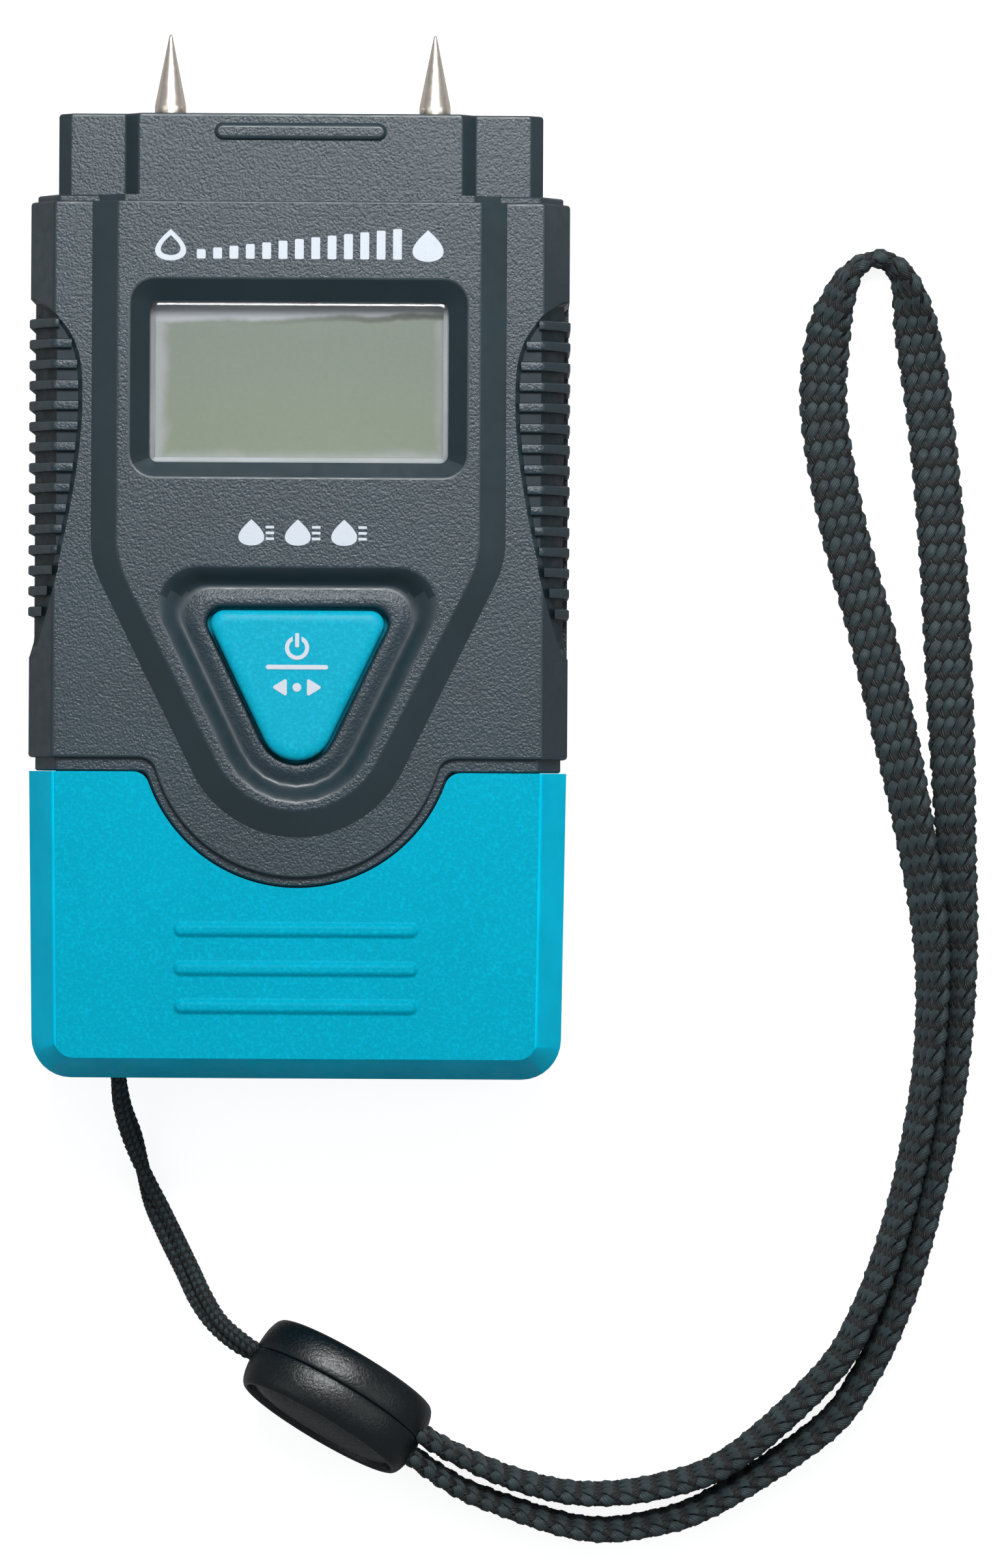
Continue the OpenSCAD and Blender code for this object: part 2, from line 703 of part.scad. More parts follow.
module battery_cradle() color("gray") translate([0, bay_y, 0]) difference() {
    union() {
        translate([0, 0, bay_z1]) cylinder(r = cell_r + cell_gap + cradle_t, h = board_z0 - 0.1 - bay_z1);
        translate([0, 0, bay_z1]) cylinder(r = door_r + door_gap + 1.6, h = 1);
    }
    translate([0, 0, bay_z1 - 1]) cylinder(r = cell_r + cell_gap, h = board_z0 - bay_z1 + 2);
    translate([cell_r - 1, -contact_w / 2 - 0.3, bay_z1 + 0.5]) cube([1.9, contact_w + 0.6, board_z0]);
}

// A coin cell: the wide can, and the narrower cap on its upper face
module coin_cell(i) color("gainsboro") translate([0, bay_y, cells_z0 + i * cell_t]) {
    cylinder(r = cell_r, h = cell_t - cell_step);
    cylinder(r = cell_r - cell_rim, h = cell_t);
}

module coin_cell_lower() coin_cell(0);
module coin_cell_middle() coin_cell(1);
module coin_cell_upper() coin_cell(cell_count - 1);

module battery_contact_positive() color("goldenrod")
    translate([cell_r + contact_gap, bay_y - contact_w / 2, contact_z0])
        cube([contact_t, contact_w, board_z1 + contact_over - contact_z0]);

module battery_contact_negative() color("goldenrod") translate([0, bay_y, cells_z1]) {
    cylinder(r = contact_disc_r, h = contact_t);
    cylinder(r = contact_stem_r, h = board_z1 + contact_over - cells_z1);
}

module battery_door() color(case_grey) translate([0, bay_y, 0]) difference() {
    union() {
        translate([0, 0, door_z]) cylinder(r = door_r, h = door_t);
        translate([0, 0, door_z]) cylinder(r = neck_r, h = lug_z1 - door_z);
        bay_sectors(neck_r - 1, door_r - 0.1, lug_half_angle, 0, lug_z0, lug_z1);
    }
    block(cell_r * 0.62, -1, 1, door_z - 1, door_z + 1);
    translate([0, 0, door_z + 2.4]) cylinder(r = neck_r - 1.3, h = 0.6);
}

module board_screws() color("silver") board_screw_places() {
    translate([0, 0, board_z0 - board_screw_head_t])
        cylinder(r = board_screw_head_r, h = board_screw_head_t);
    translate([0, 0, board_z0]) cylinder(r = board_screw_r, h = board_t + board_screw_bite);
}

// ---------- cap ----------

module end_cap() color(cap_blue) difference() {
    union() {
        intersection() {
            along_y(y_end, y_mouth) polygon(case_pts(0.06));
            along_z(-1, z_panel)
                polygon(rounded(rect_pts(case_hw, y_end, y_mouth),
                                [cap_corner_r, cap_mouth_r, cap_mouth_r, cap_corner_r]));
            rotate([90, 0, 90]) translate([0, 0, -case_w]) linear_extrude(2 * case_w)
                polygon([[y_end + cap_bevel, 0], [y_mouth, 0], [y_mouth, z_shoulder],
                         [y_end + cap_bevel, z_shoulder], [y_end, z_edge], [y_end, cap_bevel]]);
        }
        for (y = cap_bar_ys) translate([0, y_end + y, 0]) intersection() {
            translate([-cap_bar_hw, 0, z_shoulder - cap_bar_r + cap_bar_h])
                rotate([0, 90, 0]) cylinder(r = cap_bar_r, h = 2 * cap_bar_hw);
            block(case_w, -cap_bar_r, cap_bar_r, z_shoulder - 0.5, z_shoulder + cap_bar_h);
        }
    }
    along_y(y_end + cap_end, y_mouth + 1) polygon(neck_pts(cap_fit));
    translate([0, lobe_y, z_split]) cylinder(r = cap_cut_r, h = z_panel);
    for (z = eyelet_z) translate([eyelet_x, 0, z]) rod_y(eyelet_r, y_end - 1, y_end + cap_end + 1);
}

// ---------- lanyard and strap ----------

// One ring of a swept section: an ellipse with half-axes a and b, rolled about the path.
// The path never runs along the direction called ref, which sets where the roll starts.
function ring(p, along, roll, a, b, sides, ref) =
    let (t = along / norm(along), side = cross(t, ref) / norm(cross(t, ref)))
    let (up = cross(side, t), wide = cos(roll) * side + sin(roll) * up, thin = cross(t, wide))
    [for (k = [0 : sides - 1]) let (q = 360 * k / sides + 180 / sides)
        p + a * cos(q) * wide + b * sin(q) * thin];

function tangent(pts, i) = pts[min(i + 1, len(pts) - 1)] - pts[max(i - 1, 0)];

module sweep(pts, rolls, a, b, sides = 8, ref = [0, 0, 1]) {
    n = len(pts);
    rings = [for (i = [0 : n - 1]) each ring(pts[i], tangent(pts, i), rolls[i], a, b, sides, ref)];
    walls = [for (i = [0 : n - 2], k = [0 : sides - 1])
        let (q = (k + 1) % sides)
        each [[i * sides + k, i * sides + q, (i + 1) * sides + q],
              [i * sides + k, (i + 1) * sides + q, (i + 1) * sides + k]]];
    start = [for (k = [sides - 1 : -1 : 0]) k];
    finish = [for (k = [0 : sides - 1]) (n - 1) * sides + k];
    polyhedron(rings, concat(walls, [start, finish]));
}

module lanyard_cord() color(cord_black) translate(cord_shift)
    sweep(lanyard_route, [for (p = lanyard_route) 0], lanyard_d / 2, lanyard_d / 2, ref = [1, 0, 0]);

// Half of the rolled strap's height, so that it rests on the surface
function strap_rest(roll) = norm([strap_w / 2 * sin(roll), strap_t / 2 * cos(roll)]) + 0.05;

module wrist_strap() color(cord_black) translate(cord_shift)
    sweep([for (p = strap_route) [p[0], p[1], p[2] + strap_rest(p[3])]], [for (p = strap_route) p[3]],
          strap_w / 2, strap_t / 2, 10);

// Half of the bead: an oval plate with a broad rim and a smaller outer face
module bead_half(side) color(cord_black)
    translate(bead_at + cord_shift) rotate([0, 0, bead_turn]) rotate([bead_lean, 0, 0]) hull()
        for (s = [[1, 1, 0], [0.97, 0.96, bead_rim], [0.82, 0.78, 1]])
            translate([0, side * s[2] * bead_t / 2, 0]) rotate([-side * 90, 0, 0])
                scale([s[0] * bead_len / 2, s[1] * bead_h / 2, 1]) cylinder(r = 1, h = 0.01, $fn = 32);

module cord_bead_front() bead_half(-1);
module cord_bead_back() bead_half(1);

front_shell();
rear_shell();
display_window();
display_gasket();
lcd_front_glass();
lcd_rear_glass();
lcd_reflector();
lcd_holder();
zebra_connector();
main_board();
control_chip();
thermistor();
tact_switch_base();
tact_switch_plunger();
power_button();
electrode_left();
electrode_right();
electrode_socket_left();
electrode_socket_right();
electrode_lead_left();
electrode_lead_right();
battery_cradle();
coin_cell_lower();
coin_cell_middle();
coin_cell_upper();
battery_contact_positive();
battery_contact_negative();
battery_door();
case_screws();
board_screws();
end_cap();
lanyard_cord();
cord_bead_front();
cord_bead_back();
wrist_strap();
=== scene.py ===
"""Looks of the two-pin moisture meter. Shapes are in millimetres, in the part's own frame."""

import math

import bmesh
import bpy
import numpy as np
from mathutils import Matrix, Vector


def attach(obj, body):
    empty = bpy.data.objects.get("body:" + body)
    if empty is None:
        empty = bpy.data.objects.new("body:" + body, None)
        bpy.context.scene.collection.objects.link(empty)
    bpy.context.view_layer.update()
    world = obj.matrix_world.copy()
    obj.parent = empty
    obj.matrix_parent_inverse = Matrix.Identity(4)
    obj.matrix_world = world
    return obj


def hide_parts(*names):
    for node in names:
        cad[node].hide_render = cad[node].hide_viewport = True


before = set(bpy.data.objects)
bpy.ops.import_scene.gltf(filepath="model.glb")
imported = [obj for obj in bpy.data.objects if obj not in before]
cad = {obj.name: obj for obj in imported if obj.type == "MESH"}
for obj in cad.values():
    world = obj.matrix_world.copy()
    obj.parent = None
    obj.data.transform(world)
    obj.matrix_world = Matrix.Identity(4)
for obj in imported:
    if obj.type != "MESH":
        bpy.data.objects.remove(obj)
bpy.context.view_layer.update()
MM = 0.001

# ---------- camera, lights and floor ----------


def add_object(name, data):
    obj = bpy.data.objects.new(name, data)
    bpy.context.scene.collection.objects.link(obj)
    return obj


def make_camera():
    lens = bpy.data.cameras.new("camera")
    lens.sensor_width = 36
    lens.lens = 242.2
    lens.clip_end = 20
    obj = add_object("camera", lens)
    obj.location = (0.0194, -0.0218, 1.026)
    obj.rotation_euler = (0, 0, math.radians(0.32))
    bpy.context.scene.camera = obj


def area_light(name, place, aim, size, energy):
    lamp = bpy.data.lights.new(name, "AREA")
    lamp.shape = "RECTANGLE"
    lamp.size, lamp.size_y = size
    lamp.energy = energy
    obj = add_object(name, lamp)
    obj.location = place
    toward = Vector(aim) - Vector(place)
    obj.rotation_euler = toward.to_track_quat("-Z", "Y").to_euler()


def make_studio():
    world = bpy.data.worlds.new("studio")
    world.use_nodes = True
    background = world.node_tree.nodes["Background"]
    background.inputs["Color"].default_value = (0.92, 0.96, 1.0, 1)
    background.inputs["Strength"].default_value = 0.38
    bpy.context.scene.world = world
    area_light("main", (0.02, 0.13, 0.27), (0.01, 0.01, 0.02), (0.16, 0.08), 1.05)
    area_light("key", (0.12, 0.6, 0.9), (0.0, 0, 0), (0.5, 0.35), 0.8)
    area_light("left", (-0.62, 0.05, 0.8), (0, -0.02, 0), (0.3, 0.6), 0.6)
    area_light("right", (0.66, 0.05, 0.8), (0, -0.02, 0), (0.3, 0.6), 1.0)
    bpy.context.scene.view_settings.view_transform = "Standard"


# ---------- materials ----------


# The colour sockets of a Mix node, by their place among all its sockets
MIX_A, MIX_B, MIX_RESULT = 6, 7, 2


class Finish:
    """A node material around one Principled shader, in the part's own coordinates."""

    def __init__(self, name, colour, rough, metal=0.0, **sockets):
        self.material = bpy.data.materials.new(name)
        self.material.use_nodes = True
        self.tree = self.material.node_tree
        self.shader = self.tree.nodes["Principled BSDF"]
        self.coords = self.tree.nodes.new("ShaderNodeTexCoord").outputs["Object"]
        plain = {"Base Color": (*colour, 1), "Roughness": rough, "Metallic": metal}
        for key, value in (plain | sockets).items():
            self.set(self.shader, key.replace("_", " "), value)

    def set(self, node, socket, value):
        target = node.inputs[socket]
        if isinstance(value, bpy.types.NodeSocket):
            self.tree.links.new(value, target)
        else:
            target.default_value = value

    def node(self, kind, settings=None, **sockets):
        made = self.tree.nodes.new("ShaderNode" + kind)
        for key, value in (settings or {}).items():
            setattr(made, key, value)
        for key, value in sockets.items():
            self.set(made, key.replace("_", " "), value)
        return made

    def noise(self, scale, detail=2.0, rough=0.5, vector=None):
        made = self.node("TexNoise", Scale=scale, Detail=detail, Roughness=rough)
        self.set(made, "Vector", vector or self.coords)
        return made.outputs["Fac"]

    def cells(self, scale, feature="F1", vector=None):
        made = self.node("TexVoronoi", {"feature": feature}, Scale=scale)
        self.set(made, "Vector", vector or self.coords)
        return made.outputs["Distance"]

    def math(self, operation, a, b=0.0):
        made = self.node("Math", {"operation": operation})
        self.set(made, 0, a)
        self.set(made, 1, b)
        return made.outputs[0]

    def times(self, a, b):
        return self.math("MULTIPLY", a, b)

    def plus(self, a, b):
        return self.math("ADD", a, b)

    def span(self, value, low, high, to_low=0.0, to_high=1.0):
        made = self.node("MapRange", {"clamp": True, "interpolation_type": "SMOOTHSTEP"}, Value=value,
                         From_Min=low, From_Max=high, To_Min=to_low, To_Max=to_high)
        return made.outputs[0]

    def mix(self, factor, a, b):
        made = self.node("Mix", {"data_type": "RGBA"})
        self.set(made, "Factor", factor)
        for socket, value in ((MIX_A, a), (MIX_B, b)):
            self.set(made, socket, value if isinstance(value, bpy.types.NodeSocket) else (*value, 1))
        return made.outputs[MIX_RESULT]

    def axis(self, name):
        split = self.node("SeparateXYZ", Vector=self.coords)
        return split.outputs[name]

    def bump(self, height, strength, distance):
        made = self.node("Bump", Strength=strength, Distance=distance, Height=height)
        if self.shader.inputs["Normal"].is_linked:
            self.set(made, "Normal", self.shader.inputs["Normal"].links[0].from_socket)
        self.set(self.shader, "Normal", made.outputs["Normal"])
        return self

    def tint(self, factor, a, b):
        self.set(self.shader, "Base Color", self.mix(factor, a, b))
        return self

    def rough(self, factor, low, high, to_low, to_high):
        self.set(self.shader, "Roughness", self.span(factor, low, high, to_low, to_high))
        return self


def linear(*rgb):
    """Linear colour from 0-255 display values."""
    return tuple((c / 255 / 12.92) if c <= 10 else ((c / 255 + 0.055) / 1.055) ** 2.4 for c in rgb)


def scaled(colour, k):
    return tuple(min(1.0, c * k) for c in colour)


def grained(name, colour, rough, strength, size=0.00030, specular=0.5, drift=0.07):
    """Moulded plastic with an eroded grain, a faint drift in tone, and a few light specks that are painted
    glints.
    """
    f = Finish(name, colour, rough, Specular_IOR_Level=specular)
    pebbles = f.times(f.cells(0.8 / size, "SMOOTH_F1"), 0.8)
    grain = f.plus(f.noise(1 / size, 3, 0.6), pebbles)
    cloud = f.span(f.noise(90, 3, 0.6), 0.3, 0.7)
    base = f.mix(cloud, scaled(colour, 1 - drift), scaled(colour, 1 + drift))
    # Painted glints: a few light specks standing in for sparkle highlights on the grain
    glint_spot = f.span(f.cells(420), 0.0, 0.035, 1.0, 0.0)
    base = f.mix(f.times(glint_spot, 0.25), base, scaled(colour, 2.2))
    f.tint(f.times(f.span(grain, 0.7, 1.3), 0.5), base, scaled(colour, 1.5))
    f.rough(grain, 0.6, 1.3, rough - 0.06, rough + 0.1)
    return f.bump(grain, strength, 0.00012)


def satin(name, colour, rough, size=0.0006, strength=0.08, **sockets):
    """Smoother moulded plastic: shallow texture and slight wear."""
    f = Finish(name, colour, rough, **sockets)
    fine = f.noise(1 / size, 3, 0.55)
    f.tint(f.span(f.noise(120, 4, 0.6), 0.3, 0.7), scaled(colour, 0.92), scaled(colour, 1.08))
    f.rough(f.noise(900, 2, 0.5), 0.3, 0.7, rough - 0.05, rough + 0.07)
    return f.bump(fine, strength, 0.00008)


def metal(name, colour, rough, ring_axis=None, wear=1.0):
    """Worked metal: turning marks along one axis, or a fine random scuff."""
    f = Finish(name, colour, rough, 1.0)
    if ring_axis:
        wave = f.node("TexWave", {"wave_type": "BANDS", "bands_direction": ring_axis}, Scale=3500,
                      Distortion=1.5, Detail=2.0)
        f.set(wave, "Vector", f.coords)
        marks = wave.outputs["Fac"]
    else:
        marks = f.noise(2500, 3, 0.6)
    cloud = f.span(f.noise(700, 3, 0.6), 0.3, 0.7)
    f.tint(cloud, scaled(colour, 1 - 0.15 * wear), scaled(colour, 1 + 0.1 * wear))
    f.rough(f.noise(1600, 2, 0.5), 0.3, 0.7, max(0.05, rough - 0.08 * wear), rough + 0.1 * wear)
    return f.bump(marks, 0.04 * wear, 0.00002)


CASE_TEXTURED = linear(29, 43, 51)
CASE_SMOOTH = linear(30, 44, 50)
CAP_BLUE = linear(0, 160, 188)
# Lighter blue for the cap's smooth bevels: painted light where the bevels face away from the lamps
CAP_BEVEL_LIT_BLUE = linear(0, 173, 206)
BUTTON_BLUE = linear(2, 165, 193)


def lcd_finish():
    """Reflective display: grey-green, with a paler lilac frame that is partly the display's own lilac band
    and partly painted highlight from the window's edges, and a painted shadow as a dark line under its upper
    edge.
    """
    f = Finish("lcd_glass", linear(137, 148, 135), 0.32, Specular_IOR_Level=0.4)
    x, y = f.axis("X"), f.axis("Y")
    wander = f.times(f.math("SUBTRACT", f.noise(180, 3, 0.6), 0.5), 0.0016)
    tilted = f.math("SUBTRACT", f.plus(y, wander), f.times(x, 0.032))
    top = f.span(tilted, 0.0221, 0.0227)
    # Painted shadow: a dark line under the upper edge
    painted_shadow_line = f.span(f.math("ABSOLUTE", f.math("SUBTRACT", tilted, 0.0222)), 0.00008, 0.0004, 1.0, 0.0)
    painted_shadow_line = f.times(painted_shadow_line, f.span(x, -0.008, 0.012, 0.0, 0.8))
    # The left edge holds a lilac band and a painted highlight; the lower and right edges hold painted
    # highlights
    left = f.span(f.plus(x, wander), -0.0134, -0.0121, 1.0, 0.0)
    low = f.span(f.plus(y, wander), 0.0090, 0.0102, 0.55, 0.0)
    right = f.span(f.plus(x, wander), 0.0126, 0.0138, 0.0, 0.5)
    edge = f.math("MAXIMUM", f.math("MAXIMUM", top, f.times(left, 0.7)),
                  f.math("MAXIMUM", low, right))
    ground = f.mix(f.span(y, 0.010, 0.021), linear(113, 121, 105), linear(107, 115, 105))
    mottled = f.mix(f.times(f.noise(2600, 2, 0.5), 0.25), ground, linear(143, 149, 137))
    # Lilac band and painted highlights mixed into the display's colour
    band_and_highlight = f.mix(edge, mottled, linear(157, 157, 164))
    f.tint(painted_shadow_line, band_and_highlight, linear(58, 56, 50))
    return f.bump(f.noise(1500, 2, 0.5), 0.03, 0.00003)


def window_finish():
    """Clear moulded acrylic: mostly see-through, with a sharp surface reflection."""
    f = Finish("window_clear", (0.93, 0.95, 0.94), 0.06)
    clear = f.node("BsdfTransparent", Color=(0.97, 0.98, 0.975, 1))
    gloss = f.node("BsdfGlossy", Color=(1, 1, 1, 1))
    scuff = f.noise(300, 4, 0.7)
    f.set(gloss, "Roughness", f.span(scuff, 0.3, 0.7, 0.04, 0.12))
    fresnel = f.node("Fresnel", IOR=1.49)
    both = f.node("MixShader")
    f.set(both, "Fac", fresnel.outputs[0])
    f.set(both, 1, clear.outputs[0])
    f.set(both, 2, gloss.outputs[0])
    out = next(n for n in f.tree.nodes if n.type == "OUTPUT_MATERIAL")
    f.set(out, "Surface", both.outputs[0])
    f.tree.nodes.remove(f.shader)
    return f


def yarn_finish(name, colour):
    """Twisted polyester yarn: fine filaments along the yarn, a soft sheen and small changes in shade."""
    f = Finish(name, colour, 0.5, Specular_IOR_Level=0.4, Sheen_Weight=0.06, Sheen_Roughness=0.4)
    uv = f.node("UVMap").outputs[0]
    parts = f.node("SeparateXYZ", Vector=uv)
    lay = f.plus(f.times(parts.outputs["Y"], 14.0),
                 f.times(parts.outputs["X"], 1.1))
    strands = f.math("SINE", f.times(lay, 2 * math.pi))
    ragged = f.plus(strands, f.times(f.noise(2800, 3, 0.6), 1.2))
    shade = f.span(f.noise(500, 3, 0.6), 0.3, 0.7)
    f.tint(shade, scaled(colour, 0.7), scaled(colour, 1.5))
    f.rough(ragged, -1.0, 1.6, 0.45, 0.7)
    return f.bump(ragged, 0.45, 0.00006)


def print_finish():
    """Pale pad-printed ink, slightly worn."""
    ink = linear(172, 179, 187)
    f = Finish("print_white", ink, 0.5, Specular_IOR_Level=0.35)
    worn = f.span(f.noise(1900, 3, 0.7), 0.62, 0.75)
    f.tint(f.times(worn, 0.35), ink, linear(118, 132, 142))
    return f.bump(f.noise(3000, 2, 0.5), 0.15, 0.00005)


def board_finish():
    """Green circuit board with a glass weave and lighter areas of copper under the lacquer."""
    lacquer = linear(16, 82, 48)
    f = Finish("board_laminate", lacquer, 0.35)
    weave = f.times(*[f.math("SINE", f.times(f.axis(a), 9000)) for a in "XY"])
    brick = f.node("TexBrick", Scale=260, Mortar_Size=0.012)
    f.set(brick, "Vector", f.coords)
    f.tint(brick.outputs["Fac"], lacquer, linear(34, 112, 66))
    return f.bump(weave, 0.08, 0.00003)


def floor_finish():
    """Plain pale floor that glows a little, so that it stays even and white round the meter."""
    f = Finish("floor", linear(150, 150, 150), 0.9, Specular_IOR_Level=0.1)
    f.tint(f.noise(3, 2, 0.5), linear(148, 148, 148), linear(152, 152, 152))
    f.set(f.shader, "Emission Color", (1, 1, 1, 1))
    f.set(f.shader, "Emission Strength", 0.88)
    return f


def dress_cad_nodes():
    """A procedural finish for every CAD piece that stays as it is."""
    finishes = {
        "lcd_front_glass": lcd_finish(),
        "lcd_rear_glass": satin("lcd_back_glass", linear(120, 135, 120), 0.2),
        "lcd_reflector": metal("lcd_foil", linear(200, 205, 205), 0.3),
        "lcd_holder": satin("holder_plastic", linear(215, 215, 208), 0.5),
        "zebra_connector": satin("zebra_rubber", linear(205, 140, 150), 0.6),
        # A pale gasket: painted highlight along the window's edges
        "display_gasket": satin("gasket_foam", linear(165, 168, 172), 0.8, 0.0003, 0.4),
        "main_board": board_finish(),
        "control_chip": satin("chip_epoxy", linear(28, 28, 30), 0.45),
        "thermistor": satin("thermistor_epoxy", linear(120, 60, 30), 0.3),
        "tact_switch_base": satin("switch_plastic", linear(50, 50, 52), 0.45),
        "tact_switch_plunger": satin("plunger_plastic", linear(225, 220, 200), 0.4),
        "battery_cradle": satin("cradle_plastic", linear(105, 108, 112), 0.5),
        "board_screws": metal("screw_steel", linear(190, 190, 186), 0.28),
        "battery_contact_positive": metal("contact_bronze", linear(205, 160, 90), 0.3),
    }
    finishes["battery_contact_negative"] = finishes["battery_contact_positive"]
    brass = metal("socket_brass", linear(205, 170, 85), 0.28, "Y")
    lead = satin("lead_insulation", linear(150, 30, 28), 0.4)
    cell = metal("cell_steel", linear(205, 205, 205), 0.25)
    for side in ("left", "right"):
        finishes["electrode_socket_" + side] = brass
        finishes["electrode_lead_" + side] = lead
    for place in ("lower", "middle", "upper"):
        finishes["coin_cell_" + place] = cell
    for name, finish in finishes.items():
        cad[name].data.materials.clear()
        cad[name].data.materials.append(finish.material)


# ---------- shape helpers ----------


def distances(points):
    """How far along its path each point is."""
    return np.concatenate([[0], np.cumsum(np.linalg.norm(np.diff(points, axis=0), axis=1))])


def unit(vectors):
    return vectors / np.linalg.norm(vectors, axis=1)[:, None]


def corner(a, b, c, r, steps):
    """Arc that rounds corner b of the path a-b-c."""
    a, b, c = (np.array(p, float) for p in (a, b, c))
    if r <= 0:
        return [b]
    u, v = (a - b) / np.linalg.norm(a - b), (c - b) / np.linalg.norm(c - b)
    half = math.acos(float(np.clip(u @ v, -1, 1))) / 2
    w = (u + v) / np.linalg.norm(u + v)
    o = b + w * r / math.sin(half)
    p, q = b + u * r / math.tan(half) - o, b + v * r / math.tan(half) - o
    a0 = math.atan2(p[1], p[0])
    turn = (math.atan2(q[1], q[0]) - a0 + 3 * math.pi) % (2 * math.pi) - math.pi
    return [o + r * np.array([math.cos(a0 + turn * i / steps), math.sin(a0 + turn * i / steps)])
            for i in range(steps + 1)]


def rounded(points, radii, steps=4):
    n = len(points)
    out = []
    for i in range(n):
        out += corner(points[i - 1], points[i], points[(i + 1) % n], radii[i], steps)
    return np.array(out)


def at(outline, x, y):
    return outline + np.array([x, y])


def rect(hw, y0, y1, r, steps=6):
    return rounded([(hw, y0), (hw, y1), (-hw, y1), (-hw, y0)], [r] * 4, steps)


def flat_ring(outline, z):
    return np.column_stack([outline, np.full(len(outline), z)])


def y_ring(section, y):
    """A section given as (x, z) points, set at height y."""
    return np.column_stack([section[:, 0], np.full(len(section), y), section[:, 1]])


def circle(r, n=48, x=0.0, y=0.0):
    t = np.arange(n) * 2 * math.pi / n
    return np.column_stack([x + r * np.cos(t), y + r * np.sin(t)])


def loft(rings):
    """Closed shell through rings of equal point count, flat at both ends."""
    n, verts = len(rings[0]), np.vstack(rings)
    faces = [(i * n + k, i * n + (k + 1) % n, (i + 1) * n + (k + 1) % n, (i + 1) * n + k)
             for i in range(len(rings) - 1) for k in range(n)]
    last = (len(rings) - 1) * n
    faces += [tuple(reversed(range(n))), tuple(range(last, last + n))]
    return verts, faces


def prism(outline, z0, z1):
    return loft([flat_ring(outline, z) for z in (z0, z1)])


def tower(outline, steps):
    """Shell that passes through outline(inset) at each (inset, z)."""
    return loft([flat_ring(outline(g), z) for g, z in steps])


def beam(section, steps):
    """Shell that passes through section(inset) at each (inset, y)."""
    return loft([y_ring(section(g), y) for g, y in steps])


def placed(shape, matrix=None, shift=(0, 0, 0)):
    verts, faces = shape
    out = verts @ np.array(matrix).T if matrix is not None else verts
    flip = matrix is not None and np.linalg.det(np.array(matrix)) < 0
    return out + np.array(shift), [tuple(reversed(f)) for f in faces] if flip else faces


def mirrored(shape):
    return placed(shape, np.diag([-1.0, 1.0, 1.0]))


def drum(profile, n=48, x=0.0, y=0.0, along="z"):
    """Turned solid from (radius, height) pairs, about Z at (x, y), or about Y with y as its height in z."""
    rings = []
    for r, h in profile:
        c = circle(r, n, x, y)
        rings.append(flat_ring(c, h) if along == "z" else y_ring(c, h))
    return loft(rings)


def temp_mesh(shapes):
    """One object from several closed shells, with outward faces, in metres."""
    bm = bmesh.new()
    for verts, faces in shapes:
        made = [bm.verts.new(v * MM) for v in verts]
        for f in faces:
            bm.faces.new([made[i] for i in f])
    bmesh.ops.recalc_face_normals(bm, faces=bm.faces)
    mesh = bpy.data.meshes.new("shape")
    bm.to_mesh(mesh)
    bm.free()
    return add_object("shape", mesh)


def carve(base, *steps):
    """Applies (operation, shape) steps to a base shape, one after the other, and returns the object."""
    obj = base if isinstance(base, bpy.types.Object) else temp_mesh([base])
    tools = []
    for operation, shape in steps:
        tool = shape if isinstance(shape, bpy.types.Object) else temp_mesh([shape])
        modifier = obj.modifiers.new(operation.lower(), "BOOLEAN")
        modifier.operation, modifier.solver, modifier.object = operation, "MANIFOLD", tool
        tools.append(tool)
    bpy.context.view_layer.update()
    mesh = bpy.data.meshes.new_from_object(obj.evaluated_get(bpy.context.evaluated_depsgraph_get()))
    for o in tools + [obj]:
        bpy.data.objects.remove(o)
    return add_object("shape", mesh)


def cut(*shapes):
    return [("DIFFERENCE", s) for s in shapes]


def join(*shapes):
    return [("UNION", s) for s in shapes]


def tidy_mesh(obj, smooth):
    bm = bmesh.new()
    bm.from_mesh(obj.data)
    bmesh.ops.remove_doubles(bm, verts=bm.verts, dist=2e-6)
    bmesh.ops.dissolve_degenerate(bm, edges=bm.edges, dist=1e-6)
    bmesh.ops.dissolve_limit(bm, angle_limit=math.radians(0.3), verts=bm.verts, edges=bm.edges,
                             delimit={"MATERIAL"})
    bm.to_mesh(obj.data)
    bm.free()
    obj.data.shade_smooth()
    obj.data.set_sharp_from_angle(angle=math.radians(smooth))
    return obj


def merged(objects, name):
    """One object from several, which are removed."""
    bm = bmesh.new()
    for o in objects:
        bm.from_mesh(o.data)
        bpy.data.objects.remove(o)
    mesh = bpy.data.meshes.new(name)
    bm.to_mesh(mesh)
    bm.free()
    return add_object(name, mesh)


def finish_piece(obj, name, body, finishes, replaces=(), smooth=38, pick=None, weighted=True):
    """Names a piece, gives it materials and normals, and hangs it on its body."""
    obj.name = obj.data.name = name
    obj.data.materials.clear()
    for f in finishes:
        obj.data.materials.append(f.material)
    tidy_mesh(obj, smooth)
    if pick:
        for p in obj.data.polygons:
            p.material_index = pick(p.center / MM, p.normal)
    if weighted:
        normals = obj.modifiers.new("normals", "WEIGHTED_NORMAL")
        normals.keep_sharp = True
        normals.weight = 90
    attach(obj, body)
    if replaces:
        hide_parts(*replaces)
    return obj


def bevel(obj, width, segments, angle):
    m = obj.modifiers.new("bevel", "BEVEL")
    m.width, m.segments, m.limit_method, m.angle_limit = width * MM, segments, "ANGLE", math.radians(angle)


# ---------- sizes, in millimetres ----------

